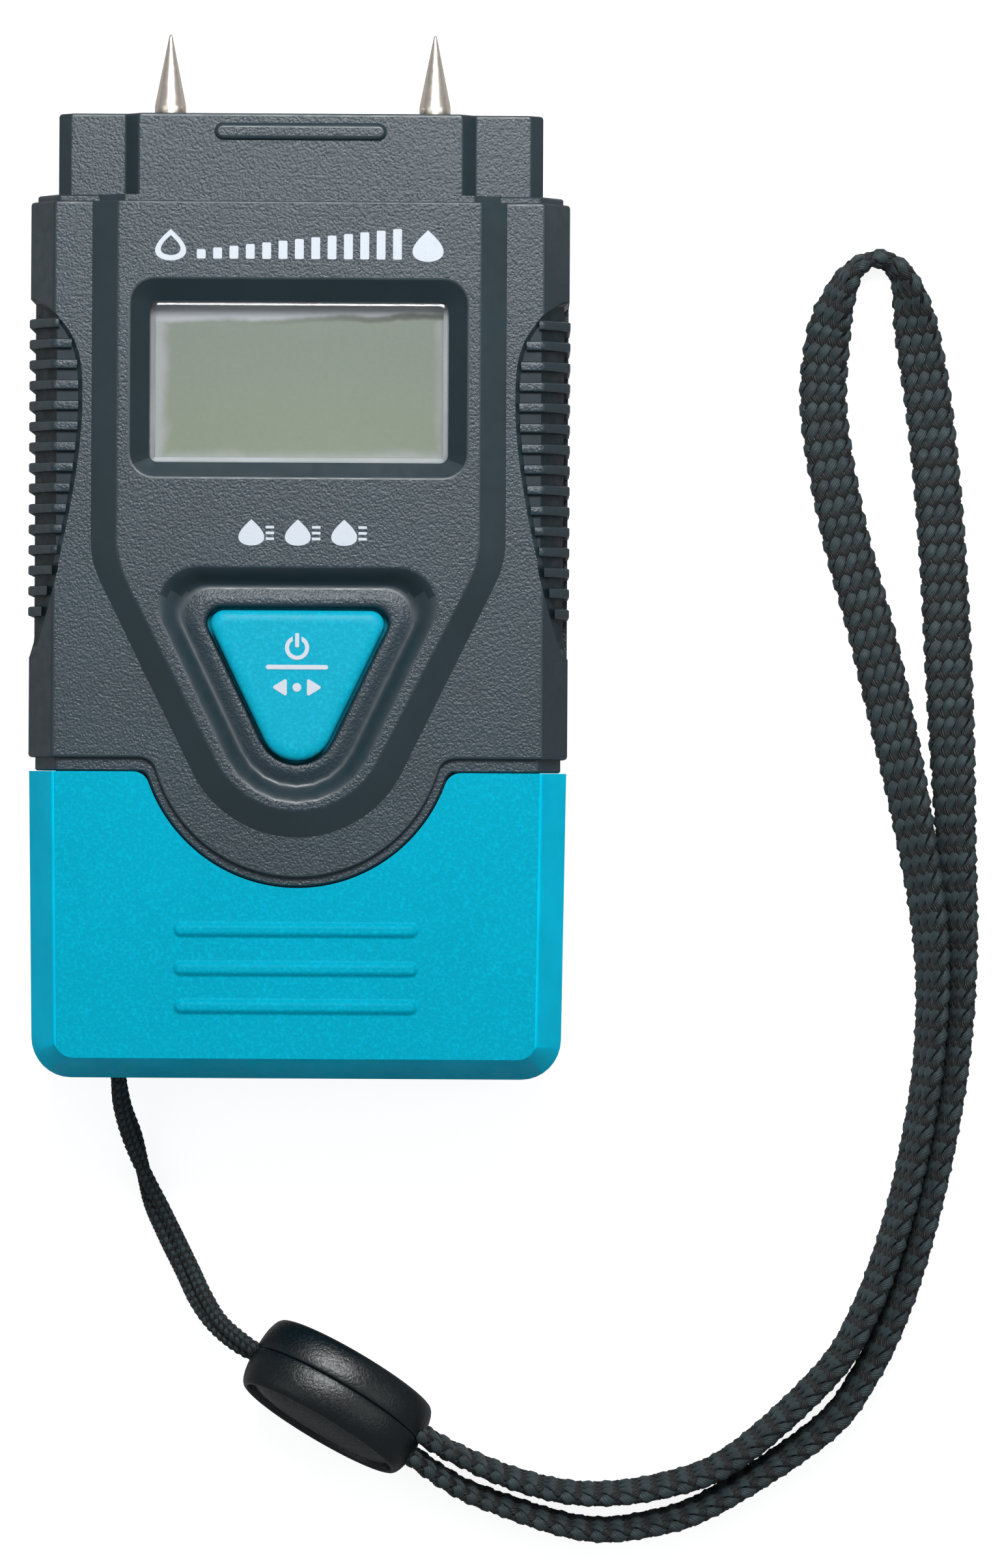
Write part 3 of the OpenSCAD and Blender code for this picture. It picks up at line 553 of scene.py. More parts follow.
Y_TIP, Y_HEAD, Y_TOP, Y_BOTTOM, Y_MOUTH, Y_PLUG, Y_END = 50.0, 41.9, 33.4, -19.5, -20.8, -44.6, -50.0
CASE_HW, Z_PANEL, Z_SHOULDER, Z_EDGE, Z_SPLIT = 25.7, 26.0, 24.2, 20.0, 13.0
EDGE_IN, EDGE_DROP, BACK_CHAMFER = 2.4, 4.2, 3.5
LIP_IN, LIP_LEN = 0.65, 0.6
PANEL_HW, PANEL_SLOPE, PANEL_BEND_Y = 19.7, 2.5, -0.9
TAIL_R, TAIL_Y, LOBE_Y, LOBE_R, LOBE_LIP_R, CUT_R = 11.1, -15.9, -16.8, 14.0, 14.85, 15.0
NECK_HW, NECK_Z0, NECK_Z1, NECK_STEP, NECK_MID_IN = 23.1, 2.0, 22.5, 1.7, 6.4
GLASS_HW, GLASS_Y0, GLASS_Y1 = 14.2, 8.6, 23.9
BUTTON_Y, BUTTON_W, BUTTON_H = -5.45, 18.0, 18.7
BUTTON_TOP = 26.19
BAY_Y = 3.0
WALL = 2.0
PIN_X = 12.7
SCREW_SPOTS = [(x, y) for x in (-19.5, 19.5) for y in (27, -13)]
CORD_HOLE_X, CORD_HOLES_Z = -17.4, (4.6, 8.2)
GRIP_Y0, GRIP_Y1, GRIP_FLOOR = -9.9, 24.15, 0.5
RIB_TOP_Y, RIB_PITCH, RIBS, RIB_POINTS = 21.8, 1.957, 15, 22


def case_section(g, r=0.5, steps=4):
    """Case seen along Y, inset by g: bevelled back edges, upright sides, and slopes up to the shoulders."""
    edge = math.hypot(EDGE_IN, EDGE_DROP)
    back = (math.sqrt(2) - 1) * g
    x0, x2 = CASE_HW - g, CASE_HW - BACK_CHAMFER - back
    z = Z_EDGE - g * (edge - EDGE_DROP) / EDGE_IN
    x1 = CASE_HW - EDGE_IN - g * (edge - EDGE_IN) / EDGE_DROP
    low = BACK_CHAMFER + back
    points = [(-x2, g), (x2, g), (x0, low), (x0, z), (x1, Z_SHOULDER - g), (-x1, Z_SHOULDER - g), (-x0, z),
              (-x0, low)]
    return rounded(points, [r * 1.6, r * 1.6, r * 1.6, r, r, r, r, r * 1.6], steps)


def neck_section(g, r=0.35, steps=3):
    """Electrode head and plug seen along Y, grown by g: a raised middle between two lower sides."""
    w, b, t, m = NECK_HW + g, NECK_Z0 - g, NECK_Z1 + g, NECK_HW - NECK_MID_IN + g
    s = t - NECK_STEP
    points = [(2.5 - w, b), (w - 2.5, b), (w, b + 2.5), (w, s - 1.2), (w - 1.2, s), (m, s), (m - 1.3, t),
              (1.3 - m, t), (-m, s), (1.2 - w, s), (-w, s - 1.2), (-w, b + 2.5)]
    return rounded(points, [r] * 12, steps)


def panel_outline(g, top=0.0):
    """Panel seen from the front, inset by g: straight sides, a soft bend, and an arc round the button."""
    r, c = TAIL_R - g, np.array([0.0, TAIL_Y])
    p = np.array([PANEL_HW - g, PANEL_BEND_Y])
    d = np.linalg.norm(p - c)
    start = math.atan2(p[1] - c[1], p[0]) - math.acos(r / d)
    angles = np.linspace(start, -math.pi - start, 41)
    arc = [(r * math.cos(a), c[1] + r * math.sin(a)) for a in angles]
    points = [(PANEL_HW - g, Y_TOP - top), tuple(p), *arc, (-p[0], p[1]), (g - PANEL_HW, Y_TOP - top)]
    return rounded(points, [0.15, 9] + [0] * len(arc) + [9, 0.15], 8)


def button_outline(g, steps=8):
    """Triangle of the button, grown by g."""
    tilt = math.atan(BUTTON_W / 2 / BUTTON_H)
    y, side = BUTTON_Y + g, g / math.cos(tilt)
    x = BUTTON_W / 2 + side + g * math.tan(tilt)
    low = BUTTON_Y - (BUTTON_W / 2 + side) / math.tan(tilt)
    r = 1.3 + 0.6 * g
    return rounded([(x, y), (-x, y), (0, low)], [r, r, 3.4 + g], steps)


def u_outline(r, y_edge, fillet, top):
    """Half-round below a straight edge, blended into it at both sides."""
    dy = y_edge - fillet - LOBE_Y
    x = math.sqrt((r + fillet) ** 2 - dy ** 2)
    end = math.atan2(dy, x)
    arc = [(r * math.cos(a), LOBE_Y + r * math.sin(a)) for a in np.linspace(end, -math.pi - end, 61)]
    blend = [(x + fillet * math.cos(a), y_edge - fillet + fillet * math.sin(a))
             for a in np.linspace(math.pi / 2, end + math.pi, 9)]
    other = [(-px, py) for px, py in reversed(blend)]
    return np.array([(x, top)] + blend[:-1] + arc + other[1:] + [(-x, top)])


def grip_in(y):
    """How far the grip's inner edge is from the case's side at height y: a lopsided bow, fullest at peak."""
    peak, deepest, above, below = 13.9, 4.85, 10.3, 24
    if y > peak:
        return deepest * (1 - min(1, (y - peak) / above) ** 3.6)
    return deepest * (1 - min(1, (peak - y) / below) ** 1.6)


# ---------- the two halves of the case ----------


def outer_body():
    """The whole case before it is hollowed, opened and parted."""
    main = beam(case_section, (
        (0.3, Y_BOTTOM), (0.1, Y_BOTTOM + 0.08), (0, Y_BOTTOM + 0.3), (0, Y_TOP - 0.3), (0.1, Y_TOP - 0.08),
        (0.3, Y_TOP)))
    lips = beam(case_section, (
        (LIP_IN + 0.15, Y_MOUTH + 0.05), (LIP_IN, Y_MOUTH + 0.2), (LIP_IN, Y_TOP + LIP_LEN - 0.15),
        (LIP_IN + 0.15, Y_TOP + LIP_LEN)))
    neck = beam(neck_section, (
        (-0.4, Y_PLUG), (-0.12, Y_PLUG + 0.12), (0, Y_PLUG + 0.4), (0, Y_HEAD - 0.3), (-0.1, Y_HEAD - 0.08),
        (-0.3, Y_HEAD)))
    foot = 23.3
    panel = loft([flat_ring(panel_outline(g, top), z) for g, top, z in (
        (0, 0, foot), (0, 0, Z_SHOULDER), (0.06, 0.02, Z_SHOULDER + 0.05),
        (PANEL_SLOPE - 0.12, 0.05, Z_PANEL - 0.1), (PANEL_SLOPE + 0.02, 0.12, Z_PANEL - 0.03),
        (PANEL_SLOPE + 0.2, 0.25, Z_PANEL))])
    # The panel's own inset section carries on past its top end
    hw, knee, rise = PANEL_HW - LIP_IN, Z_SHOULDER - LIP_IN + 0.2, Z_PANEL - LIP_IN
    lip = rounded([(hw, foot), (hw, knee), (hw - PANEL_SLOPE, rise), (PANEL_SLOPE - hw, rise), (-hw, knee),
                   (-hw, foot)], [0, 0.2, 0.3, 0.3, 0.2, 0], 3)
    behind = loft([y_ring(lip, y) for y in (Y_TOP - 3, Y_TOP + LIP_LEN - 0.02)])
    lobe = tower(lambda g: u_outline(LOBE_R - g, Y_BOTTOM + g, 1.6, -12), (
        (0, NECK_Z1 - 0.6), (0, Z_SHOULDER - 0.22), (0.07, Z_SHOULDER - 0.07), (0.22, Z_SHOULDER)))
    lobe_lip = tower(lambda g: u_outline(LOBE_LIP_R - g, Y_MOUTH + 0.2 + g, 1.4, -12), (
        (0, NECK_Z1 - 0.6), (0, Z_SHOULDER - LIP_IN - 0.15), (0.15, Z_SHOULDER - LIP_IN)))
    bar = tower(lambda g: stadium(8.1 - g, 0.72 - g, 40.15), (
        (-0.12, NECK_Z1 - 0.4), (-0.12, NECK_Z1 + 0.02), (0, NECK_Z1 + 0.12), (0, NECK_Z1 + 0.3),
        (0.12, NECK_Z1 + 0.45), (0.35, NECK_Z1 + 0.52)))
    return carve(main, *join(lips, neck, panel, behind, lobe, lobe_lip, bar))


def stadium(hl, r, y, n=10):
    """Long rounded bar seen from the front, hl to each side."""
    angles = np.linspace(-math.pi / 2, math.pi / 2, n)
    right = [(hl - r + r * math.cos(a), y + r * math.sin(a)) for a in angles]
    left = [(-px, 2 * y - py) for px, py in right]
    return np.array(right + left)


def hollows():
    return (beam(case_section, ((WALL, Y_BOTTOM + WALL), (WALL, Y_TOP - WALL))),
            beam(neck_section, ((-WALL, Y_PLUG + WALL), (-WALL, Y_HEAD - WALL))))


def pane_rect(grow, r):
    """The window's opening, grown by the same amount all round."""
    return rect(GLASS_HW + grow, GLASS_Y0 - grow, GLASS_Y1 + grow, r)


def window_cutter():
    """Bezel that slopes in to the window, with a fine rounded rim; it is widest above the window."""
    outer = rect(GLASS_HW + 1.65, GLASS_Y0 - 1.3, GLASS_Y1 + 1.9, 2.2)
    inner = pane_rect(0, 0.8)
    rim = rect(GLASS_HW + 2.0, GLASS_Y0 - 1.65, GLASS_Y1 + 2.25, 2.55)
    rim_mid = rect(GLASS_HW + 1.78, GLASS_Y0 - 1.43, GLASS_Y1 + 2.03, 2.33)
    rings = [flat_ring(rim, Z_PANEL + 1), flat_ring(rim, Z_PANEL), flat_ring(rim_mid, Z_PANEL - 0.05)]
    rings += [flat_ring(outer + (inner - outer) * t, Z_PANEL - 0.16 - 1.14 * t) for t in (0.0, 0.5, 1.0)]
    rings += [flat_ring(inner, Z_PANEL - 4.5)]
    return loft(rings)


def dish_cutter():
    """Soft trough round the button, with a low ridge inside it."""
    return tower(button_outline, (
        (4.3, Z_PANEL + 1), (4.3, Z_PANEL), (4.05, Z_PANEL - 0.03), (3.8, Z_PANEL - 0.13), (3.5, 25.66),
        (3.15, 25.32), (2.85, 25.0), (2.6, 24.8), (2.4, 24.72), (2.2, 24.71), (2.0, 24.75), (1.75, 24.84),
        (1.5, 24.93), (1.25, 25.0), (1.0, 25.04), (0.75, 25.04), (0.55, 25.0), (0.4, 24.9), (0.3, 24.7),
        (0.3, 22.0)))


def grip_recess():
    """Right-hand grip recess: its floor runs just below the case, and its inner wall slopes."""
    stations = np.concatenate([np.linspace(GRIP_Y0, -8, 5), np.linspace(-7, 20, 28),
                               np.linspace(20.6, GRIP_Y1, 9)])
    edge = math.hypot(EDGE_IN, EDGE_DROP)
    rings = []
    for y in stations:
        deep = max(grip_in(y), 0.02)
        floor = min(GRIP_FLOOR, deep * 0.9)
        x_floor = CASE_HW - floor
        z_floor = Z_EDGE - floor * (edge - EDGE_DROP) / EDGE_IN
        x_top = CASE_HW - EDGE_IN - floor * (edge - EDGE_IN) / EDGE_DROP
        rise = Z_SHOULDER - floor - z_floor

        def on_floor(x):
            return Z_SHOULDER - floor if x < x_top else z_floor + rise * (x_floor - x) / (x_floor - x_top)
        x_in = min(CASE_HW - deep + 0.15, x_floor - 0.02)
        x_out = CASE_HW - deep - 0.2
        middle = max(x_in + 0.01, x_top)
        points = [(x_out - 0.25, Z_PANEL + 1), (x_out - 0.25, on_floor(x_out) + floor * 1.35),
                  (x_in, on_floor(x_in)), (middle, on_floor(middle)), (x_floor, z_floor), (x_floor, 5.0),
                  (CASE_HW + 2, 5.0), (CASE_HW + 2, Z_PANEL + 1)]
        rings.append(y_ring(np.array(points), y))
    return loft(rings)


def grip_rib(y):
    """Right-hand rib at height y, over the shoulder and down the side, with softened edges."""
    start = CASE_HW - grip_in(y) + 0.1
    profile = [(-0.465, -0.75), (-0.465, -0.12), (-0.41, 0.03), (-0.3, 0.1), (0.3, 0.1), (0.41, 0.03),
               (0.465, -0.12), (0.465, -0.75)]
    columns = []
    for dy, h in profile:
        line = np.vstack([case_section(-h)[15:25], [(CASE_HW - 8, Z_SHOULDER + h)]])
        z_start = np.interp(-start, -line[:, 0], line[:, 1])
        line = np.vstack([line[line[:, 0] > start + 0.01], [(start, z_start)]])
        along = distances(line)
        s = np.linspace(0, along[-1], RIB_POINTS)
        columns.append(np.column_stack([np.interp(s, along, line[:, 0]), np.full(RIB_POINTS, y + dy),
                                        np.interp(s, along, line[:, 1])]))
    rings = list(np.array(columns).transpose(1, 0, 2))
    low = rings[0].copy()
    low[:, 2] = 4.6
    return loft([low] + rings)


def grip_ribs():
    ribs = [grip_rib(RIB_TOP_Y - i * RIB_PITCH) for i in range(RIBS)]
    return ribs + [mirrored(r) for r in ribs]


def half_box(z0, z1):
    return prism(rect(40, -60, 60, 0.5, 2), z0, z1)


def parting_groove():
    """A shallow groove all round at the joint of the two halves."""
    deep, half = 0.15, 0.1
    inset = LIP_IN + deep
    keep = (beam(case_section, ((0.2, Y_BOTTOM + 0.2), (0.2, Y_TOP - 0.2))),
            beam(case_section, ((inset, Y_MOUTH + 0.2), (inset, Y_TOP + LIP_LEN - deep))),
            beam(neck_section, ((-deep, Y_PLUG + deep), (-deep, Y_HEAD - deep))))
    return carve(prism(rect(30, -48, 45, 0.5, 2), Z_SPLIT - half, Z_SPLIT + half), *cut(*keep))


def pin_holes():
    profile = [(1.7, 38), (1.7, Y_HEAD - 0.2), (1.9, Y_HEAD), (1.9, 44)]
    return [drum(profile, 32, x, Z_SPLIT, "y") for x in (-PIN_X, PIN_X)]


def inside(point, outline):
    """Whether a point lies inside a convex outline, given anticlockwise, as seen from the front."""
    edge = np.roll(outline, -1, axis=0) - outline
    to_x, to_y = point[0] - outline[:, 0], point[1] - outline[:, 1]
    return bool((edge[:, 0] * to_y - edge[:, 1] * to_x > -1e-6).all())


DISH_RIM = button_outline(4.4)
DISH_GROOVE = button_outline(1.9)
# Lowest height in the window's bezel and the dish, and the normal's share along Z on a flat face
Z_SUNKEN, FACES_FRONT = 24.3, 0.985


def depth_below(center):
    """How far a point lies below the case's outer section, for the front and the right or left side."""
    x, slope = abs(center.x), math.hypot(EDGE_IN, EDGE_DROP)
    return min(CASE_HW - x, Z_SHOULDER - center.z,
               (EDGE_DROP * (CASE_HW - x) - EDGE_IN * (center.z - Z_EDGE)) / slope)


def case_zone(center, normal):
    """0 on the grained faces, 1 on the smooth slopes and ribs, 2 for painted shade: the grip recess floors
    between the ribs, the window's upper and side slopes and the dish's upper slope.
    """
    by_grip = abs(center.x) > 20.7 and GRIP_Y0 - 0.3 < center.y < GRIP_Y1 + 0.15 and center.z > 4.9
    # Painted shade: the grip recess floor between the ribs takes the darker material
    if by_grip and 0.36 < depth_below(center) < 0.8:
        return 2
    # Painted shade: the window's upper and side slopes and the dish's upper slope face away from the main
    # light and take the darker material
    if Z_SUNKEN < center.z < 25.95 and normal.z < FACES_FRONT:
        in_window = abs(center.x) < GLASS_HW + 2.2 and GLASS_Y0 - 2 < center.y < GLASS_Y1 + 2.5
        in_dish_top = inside(center, DISH_RIM) and center.y > BUTTON_Y + 1.5
        if in_window and normal.y < 0.3 or in_dish_top and normal.y < -0.05:
            return 2
    flat_front = normal.z > FACES_FRONT and not (Z_SUNKEN < center.z < 25.9 and inside(center, DISH_RIM))
    on_side = abs(normal.x) > 0.995 and abs(center.x) > CASE_HW - 0.1
    back = normal.z < -FACES_FRONT
    on_ridge = center.z > Z_SUNKEN and inside(center, DISH_GROOVE)
    return 0 if flat_front or on_side or back or on_ridge else 1


def make_case(textured, smooth, recess):
    body = outer_body()
    recess_shape = grip_recess()
    steps = cut(*hollows(), window_cutter(), dish_cutter(), recess_shape, mirrored(recess_shape))
    steps += join(*grip_ribs())
    steps += cut(*pin_holes(), parting_groove())
    whole = carve(body, *steps)
    copy = add_object("shape", whole.data.copy())
    front = carve(whole, ("INTERSECT", half_box(Z_SPLIT, 30)))
    rear = carve(copy, ("INTERSECT", half_box(-1, Z_SPLIT)), *rear_openings())
    # The third material is a darker copy of the smooth plastic: painted shade
    zones = [textured, smooth, recess]
    finish_piece(front, "case_front", "case", zones, ["front_shell"], pick=case_zone)
    finish_piece(rear, "case_rear", "case", zones, ["rear_shell"], pick=case_zone)


def rear_openings():
    """Screw counterbores and the round battery opening in the back."""
    screw_holes = [drum([(2.5, -1), (2.5, 0), (2.2, 0.3), (2.2, 4.5)], 40, x, y) for x, y in SCREW_SPOTS]
    collar = drum([(15.1, WALL - 0.5), (15.1, 4.3)], 72, 0, BAY_Y)
    opening = [(13.4, -1), (13.4, 0), (13.1, 0.25), (13.1, 1.75), (11.8, 1.76), (11.8, 5)]
    return cut(*screw_holes) + join(collar) + cut(drum(opening, 72, 0, BAY_Y))


# ---------- cap ----------


def make_cap(textured, smooth):
    gap, corner_r, end_in, taper, hole_r = 0.06, 3.8, 2.0, 0.016, 0.9
    top = Z_SHOULDER - gap
    body = loft([y_ring(case_section(gap, 0.6), y) for y in (Y_END, Y_MOUTH)])
    # The slopes draw in round the corners, a hair inside the body's own
    plan = loft([flat_ring(rect(CASE_HW - 0.08 - side, Y_END + end, Y_MOUTH + 6, corner_r - end, 8), z)
                 for z, side, end in ((-1, 0, 0), (Z_EDGE, 0, 0), (Z_SHOULDER, EDGE_IN, end_in),
                                      (Z_SHOULDER + 2.1, EDGE_IN * 1.5, end_in * 1.5))])
    back = np.array([(Y_END + 2, 0.02), (Y_MOUTH + 1, 0.02), (Y_MOUTH + 1, Z_SHOULDER + 1),
                     (Y_END - 1, Z_SHOULDER + 1), (Y_END - 1, 2.99)])
    wedge = loft([np.column_stack([np.full(len(back), x), back]) for x in (-30, 30)])
    mouth = beam(neck_section, ((0.2, Y_END + 2.4), (0.2, Y_MOUTH - 0.5), (0.35, Y_MOUTH + 1)))
    bay = prism(u_outline(CUT_R, Y_MOUTH, 1.5, -10), Z_SPLIT, 30)
    hole = [(hole_r + 0.3, Y_END - 1), (hole_r + 0.3, Y_END), (hole_r, Y_END + 0.3), (hole_r, Y_END + 3)]
    holes = [drum(hole, 24, CORD_HOLE_X, z, "y") for z in CORD_HOLES_Z]
    cap = carve(body, ("INTERSECT", plan), ("INTERSECT", wedge), *cut(mouth, bay, *holes))
    tidy_mesh(cap, 30)
    bevel(cap, 0.32, 3, 28)
    cap = carve(cap)
    rise = ((-0.25, -0.4), (-0.25, 0.0), (-0.1, 0.05), (0.05, 0.2), (0.2, 0.34), (0.4, 0.42))
    bars = [loft([flat_ring(stadium(11.65 - g, 0.6 - g, Y_END + y), top + z) for g, z in rise])
            for y in (6.9, 10.5, 14.2)]
    cap = carve(cap, *join(*bars))
    for v in cap.data.vertices:
        v.co.x *= 1 - taper * (Y_MOUTH * MM - v.co.y) / ((Y_MOUTH - Y_END) * MM)

    def zone(center, normal):
        flat = abs(normal.z) > 0.95 or abs(normal.x) > 0.99
        return 0 if flat or center.z > Z_SHOULDER - 0.1 else 1
    finish_piece(cap, "cap_shell", "cap", [textured, smooth], ["end_cap"], 32, zone)


# ---------- button, window, electrodes, door and screws ----------


def make_button(finish):
    profile = [(2.0, 22.1), (2.0, 23.05), (0.0, 23.08), (0.0, 25.55), (-0.06, 25.75), (-0.2, 25.93),
               (-0.42, 26.07), (-0.75, 26.16), (-1.2, BUTTON_TOP)]
    shape = loft([flat_ring(button_outline(g, 10), z) for g, z in profile])
    stem = drum([(2.4, 20.2), (2.4, 22.3)], 32, 0, -12.0)
    finish_piece(carve(shape, *join(stem)), "button_key", "button", [finish], ["power_button"],
                 smooth=50)


def make_window(finish):
    rings = [(1.4, 22.8, 1.2), (1.4, 24.0, 1.2), (-0.05, 24.0, 0.8), (-0.05, 24.55, 0.8),
             (-0.12, 24.68, 0.75), (-0.28, 24.74, 0.7), (-0.5, 24.76, 0.6)]
    shape = loft([flat_ring(pane_rect(g, r), z) for g, z, r in rings])
    finish_piece(temp_mesh([shape]), "window_pane", "case", [finish], ["display_window"])


def make_electrodes(finish):
    cone_r, cone_y, cone_len, tip_r = 1.49, 43.2, 6.65, 0.16
    profile = [(1.2, 32.5), (1.2, 41.8), (1.42, 41.82), (1.5, 41.95), (1.5, 43.0), (cone_r, cone_y)]
    for t in (0.1, 0.25, 0.45, 0.65, 0.85, 0.96):
        profile.append((cone_r + (tip_r - cone_r) * t, cone_y + cone_len * t))
    profile += [(0.15, Y_TIP - 0.15), (0.11, Y_TIP - 0.05), (0.04, Y_TIP)]
    for name, x in (("left", -PIN_X), ("right", PIN_X)):
        shape = drum(profile, 56, x, Z_SPLIT, "y")
        finish_piece(temp_mesh([shape]), "electrode_pin_" + name, "case", [finish], ["electrode_" + name],
                     smooth=60)


def make_door(textured, smooth):
    turn, dot_r = math.radians(40), 10.6
    plug = [(12.45, 0.2), (12.7, 0.28), (12.8, 0.5), (12.8, 1.7), (11.3, 1.72), (11.3, 3.95)]
    slot = tower(lambda g: stadium(6.2 - g, 1.0 - g, BAY_Y),
                 ((-0.25, -0.5), (-0.25, 0.2), (0, 0.42), (0, 1.2)))
    # Two dots mark the ends of the door's turn
    dot = [(0.55, -0.5), (0.55, 0.2), (0.4, 0.35)]
    dots = [drum(dot, 20, dot_r * math.cos(a), BAY_Y + dot_r * math.sin(a))
            for a in (math.pi / 2, math.pi / 2 - turn)]
    ring = carve(drum([(9.2, -0.5), (9.2, 0.2), (9.0, 0.38)], 96, 0, BAY_Y),
                 *cut(drum([(8.5, -1), (8.5, 0.2), (8.7, 0.5), (8.7, 1)], 96, 0, BAY_Y)))
    door = carve(drum(plug, 96, 0, BAY_Y), *cut(slot, ring, *dots))
    finish_piece(door, "door_plate", "door", [textured, smooth], ["battery_door"],
                 pick=lambda c, n: 0 if n.z < -0.98 else 1)


def make_screws(finish):
    long_half, thin_half = 1.3, 0.27
    profile = [(1.7, 3.0), (1.95, 3.15), (2.0, 3.4), (2.0, 4.5), (1.1, 4.52), (1.1, 20.5)]
    shapes = []
    for x, y in SCREW_SPOTS:
        cross = [prism(at(rect(a, -b, b, 0.05, 2), x, y), 2.5, 3.8)
                 for a, b in ((long_half, thin_half), (thin_half, long_half))]
        shapes.append(carve(drum(profile, 36, x, y), *cut(*cross)))
    finish_piece(merged(shapes, "screws"), "screw_heads", "case", [finish], ["case_screws"])


# ---------- printed marks ----------


def drop_outline(size, n=28):
    """Water drop with its point upwards."""
    t = np.linspace(0, 2 * math.pi, n, endpoint=False)
    x = 0.5 * np.sin(t) * np.abs(np.sin(t / 2)) ** 1.15 * 1.32
    return np.column_stack([x, 0.5 * np.cos(t) - 0.05]) * size


def plate(outline, z, *gaps):
    """A printed mark: a film just proud of the face at z, sunk a little into it, less any gaps."""
    sunk, proud = 0.2, 0.05
    return carve(prism(outline, z - sunk, z + proud), *cut(*[prism(g, z - 1, z + 1) for g in gaps]))


def box_outline(x0, x1, y0, y1, r=0.12):
    cx, cy = (x0 + x1) / 2, (y0 + y1) / 2
    return at(rect((x1 - x0) / 2, (y0 - y1) / 2, (y1 - y0) / 2, r, 3), cx, cy)


def make_prints(finish):
    # A rising scale with a drop at each end, above the window
    marks = []
    bars, scale_hw, bar_hw, foot, drop_x, drop_y = 13, 9.3, 0.42, 27.85, 12.2, 29.3
    for i in range(bars):
        x = -scale_hw + 2 * scale_hw * i / (bars - 1)
        tall = 0.9 + 2.0 * i / (bars - 1)
        marks.append(plate(box_outline(x - bar_hw, x + bar_hw, foot, foot + tall), Z_PANEL))
    drop = drop_outline(3.0)
    marks.append(plate(at(drop, -drop_x, drop_y), Z_PANEL, at(drop_outline(1.9), -drop_x, drop_y - 0.1)))
    marks.append(plate(at(drop, drop_x, drop_y), Z_PANEL))
    # Three drops in a row, each with three short lines, below the window
    line_y, line_step, line_h = 1.2, 0.55, 0.25
    for x in (-4.4, 0, 4.4):
        marks.append(plate(at(drop_outline(2.5), x, 2.05), Z_PANEL))
        for low in (line_y, line_y + line_step, line_y + 2 * line_step):
            marks.append(plate(box_outline(x + 1.35, x + 2.15, low, low + line_h, 0.05), Z_PANEL))
    finish_piece(merged(marks, "panel_print"), "panel_print", "case", [finish], smooth=30)
    # A dividing line on the button, a power symbol above it, and two arrows round a dot below it
    ring_y, arrow_y, arrow_half = -9.0, -12.75, 0.9
    keys = [plate(box_outline(-2.95, 2.95, -11.05, -10.62, 0.2), BUTTON_TOP),
            plate(circle(1.15, 40, 0, ring_y), BUTTON_TOP, circle(0.76, 40, 0, ring_y),
                  box_outline(-0.42, 0.42, -8.9, -7.5, 0.05)),
            plate(box_outline(-0.19, 0.19, -8.95, -7.6, 0.1), BUTTON_TOP)]
    for s in (-1, 1):
        arrow = [(s * 2.4, arrow_y), (s * 0.95, arrow_y + arrow_half), (s * 0.95, arrow_y - arrow_half)]
        keys.append(plate(rounded(arrow, [0.15] * 3, 3), BUTTON_TOP))
    keys.append(plate(circle(0.42, 24, 0, arrow_y), BUTTON_TOP))
    finish_piece(merged(keys, "button_print"), "button_print", "button", [finish], smooth=30)


# ---------- cords ----------

LANYARD = [
    [-3.0, -77.2, 6.8], [-5.2, -75.8, 5.9], [-7.4, -74.0, 4.2], [-9.0, -71.6, 2.7],
    [-10.2, -69.2, 1.5], [-11.6, -66.4, 1.0], [-13.2, -63.2, 1.4], [-15.0, -59.6, 3.0],
    [-16.4, -56.2, 5.2], [-17.2, -53.1, 7.2], [-17.4, -50.4, 8.2], [-17.4, -48.4, 8.2],
    [-17.4, -46.6, 7.9], [-17.4, -45.9, 6.4], [-17.4, -46.6, 4.9], [-17.4, -48.4, 4.6],
    [-17.4, -50.4, 4.6], [-16.9, -53.2, 3.6], [-15.9, -56.2, 1.8], [-15.2, -59.4, 0.8],
    [-14.4, -62.8, 0.6], [-12.9, -66.2, 0.6], [-11.4, -69.2, 0.6], [-9.9, -72.2, 1.6],
    [-8.0, -74.6, 3.2], [-5.6, -76.4, 4.9], [-3.4, -77.4, 5.6],
]
# x, y, lift above the surface, roll of the flat side
STRAP = [
    [9.6, -85.6, 4.0, 84], [14.0, -88.9, 1.6, 82], [18.0, -91.0, 0.2, 78], [27.4, -93.9, 0, 73],
    [34.2, -93.5, 0, 70], [40.6, -91.2, 0, 67], [50.9, -84.3, 0, 64], [55.0, -79.0, 0, 64],
    [58.0, -72.6, 0, 63], [60.4, -64.8, 0, 62], [62.3, -56.2, 0, 60], [63.6, -47.4, 0, 58],
    [64.0, -37.6, 0, 50], [63.5, -25.0, 0, 36], [62.9, -12.0, 0, 10], [62.1, 2.0, 0, 0],
    [60.9, 14.0, 0, 2], [59.6, 22.0, 0, 22], [58.7, 26.2, 0, 56], [57.5, 28.5, 0, 78],
    [55.5, 29.4, 0, 90], [53.5, 28.4, 0, 102], [52.1, 26.0, 0, 124], [50.9, 21.6, 0, 158],
    [50.6, 14.0, 0, 178], [52.6, 3.0, 0, 180], [55.6, -8.0, 0, 174], [59.2, -24.2, 0.3, 144],
    [61.2, -37.0, 0.6, 130], [61.1, -47.6, 0.2, 121], [59.7, -57.2, 0, 119], [57.7, -65.4, 0, 117],
    [54.9, -73.0, 0, 116], [51.2, -79.0, 0, 115], [42.4, -87.0, 0, 112], [35.4, -89.8, 0, 109],
    [28.0, -90.6, 0, 106], [21.4, -89.3, 0.1, 103], [15.2, -86.6, 1.6, 98], [10.6, -83.8, 4.0, 96],
]
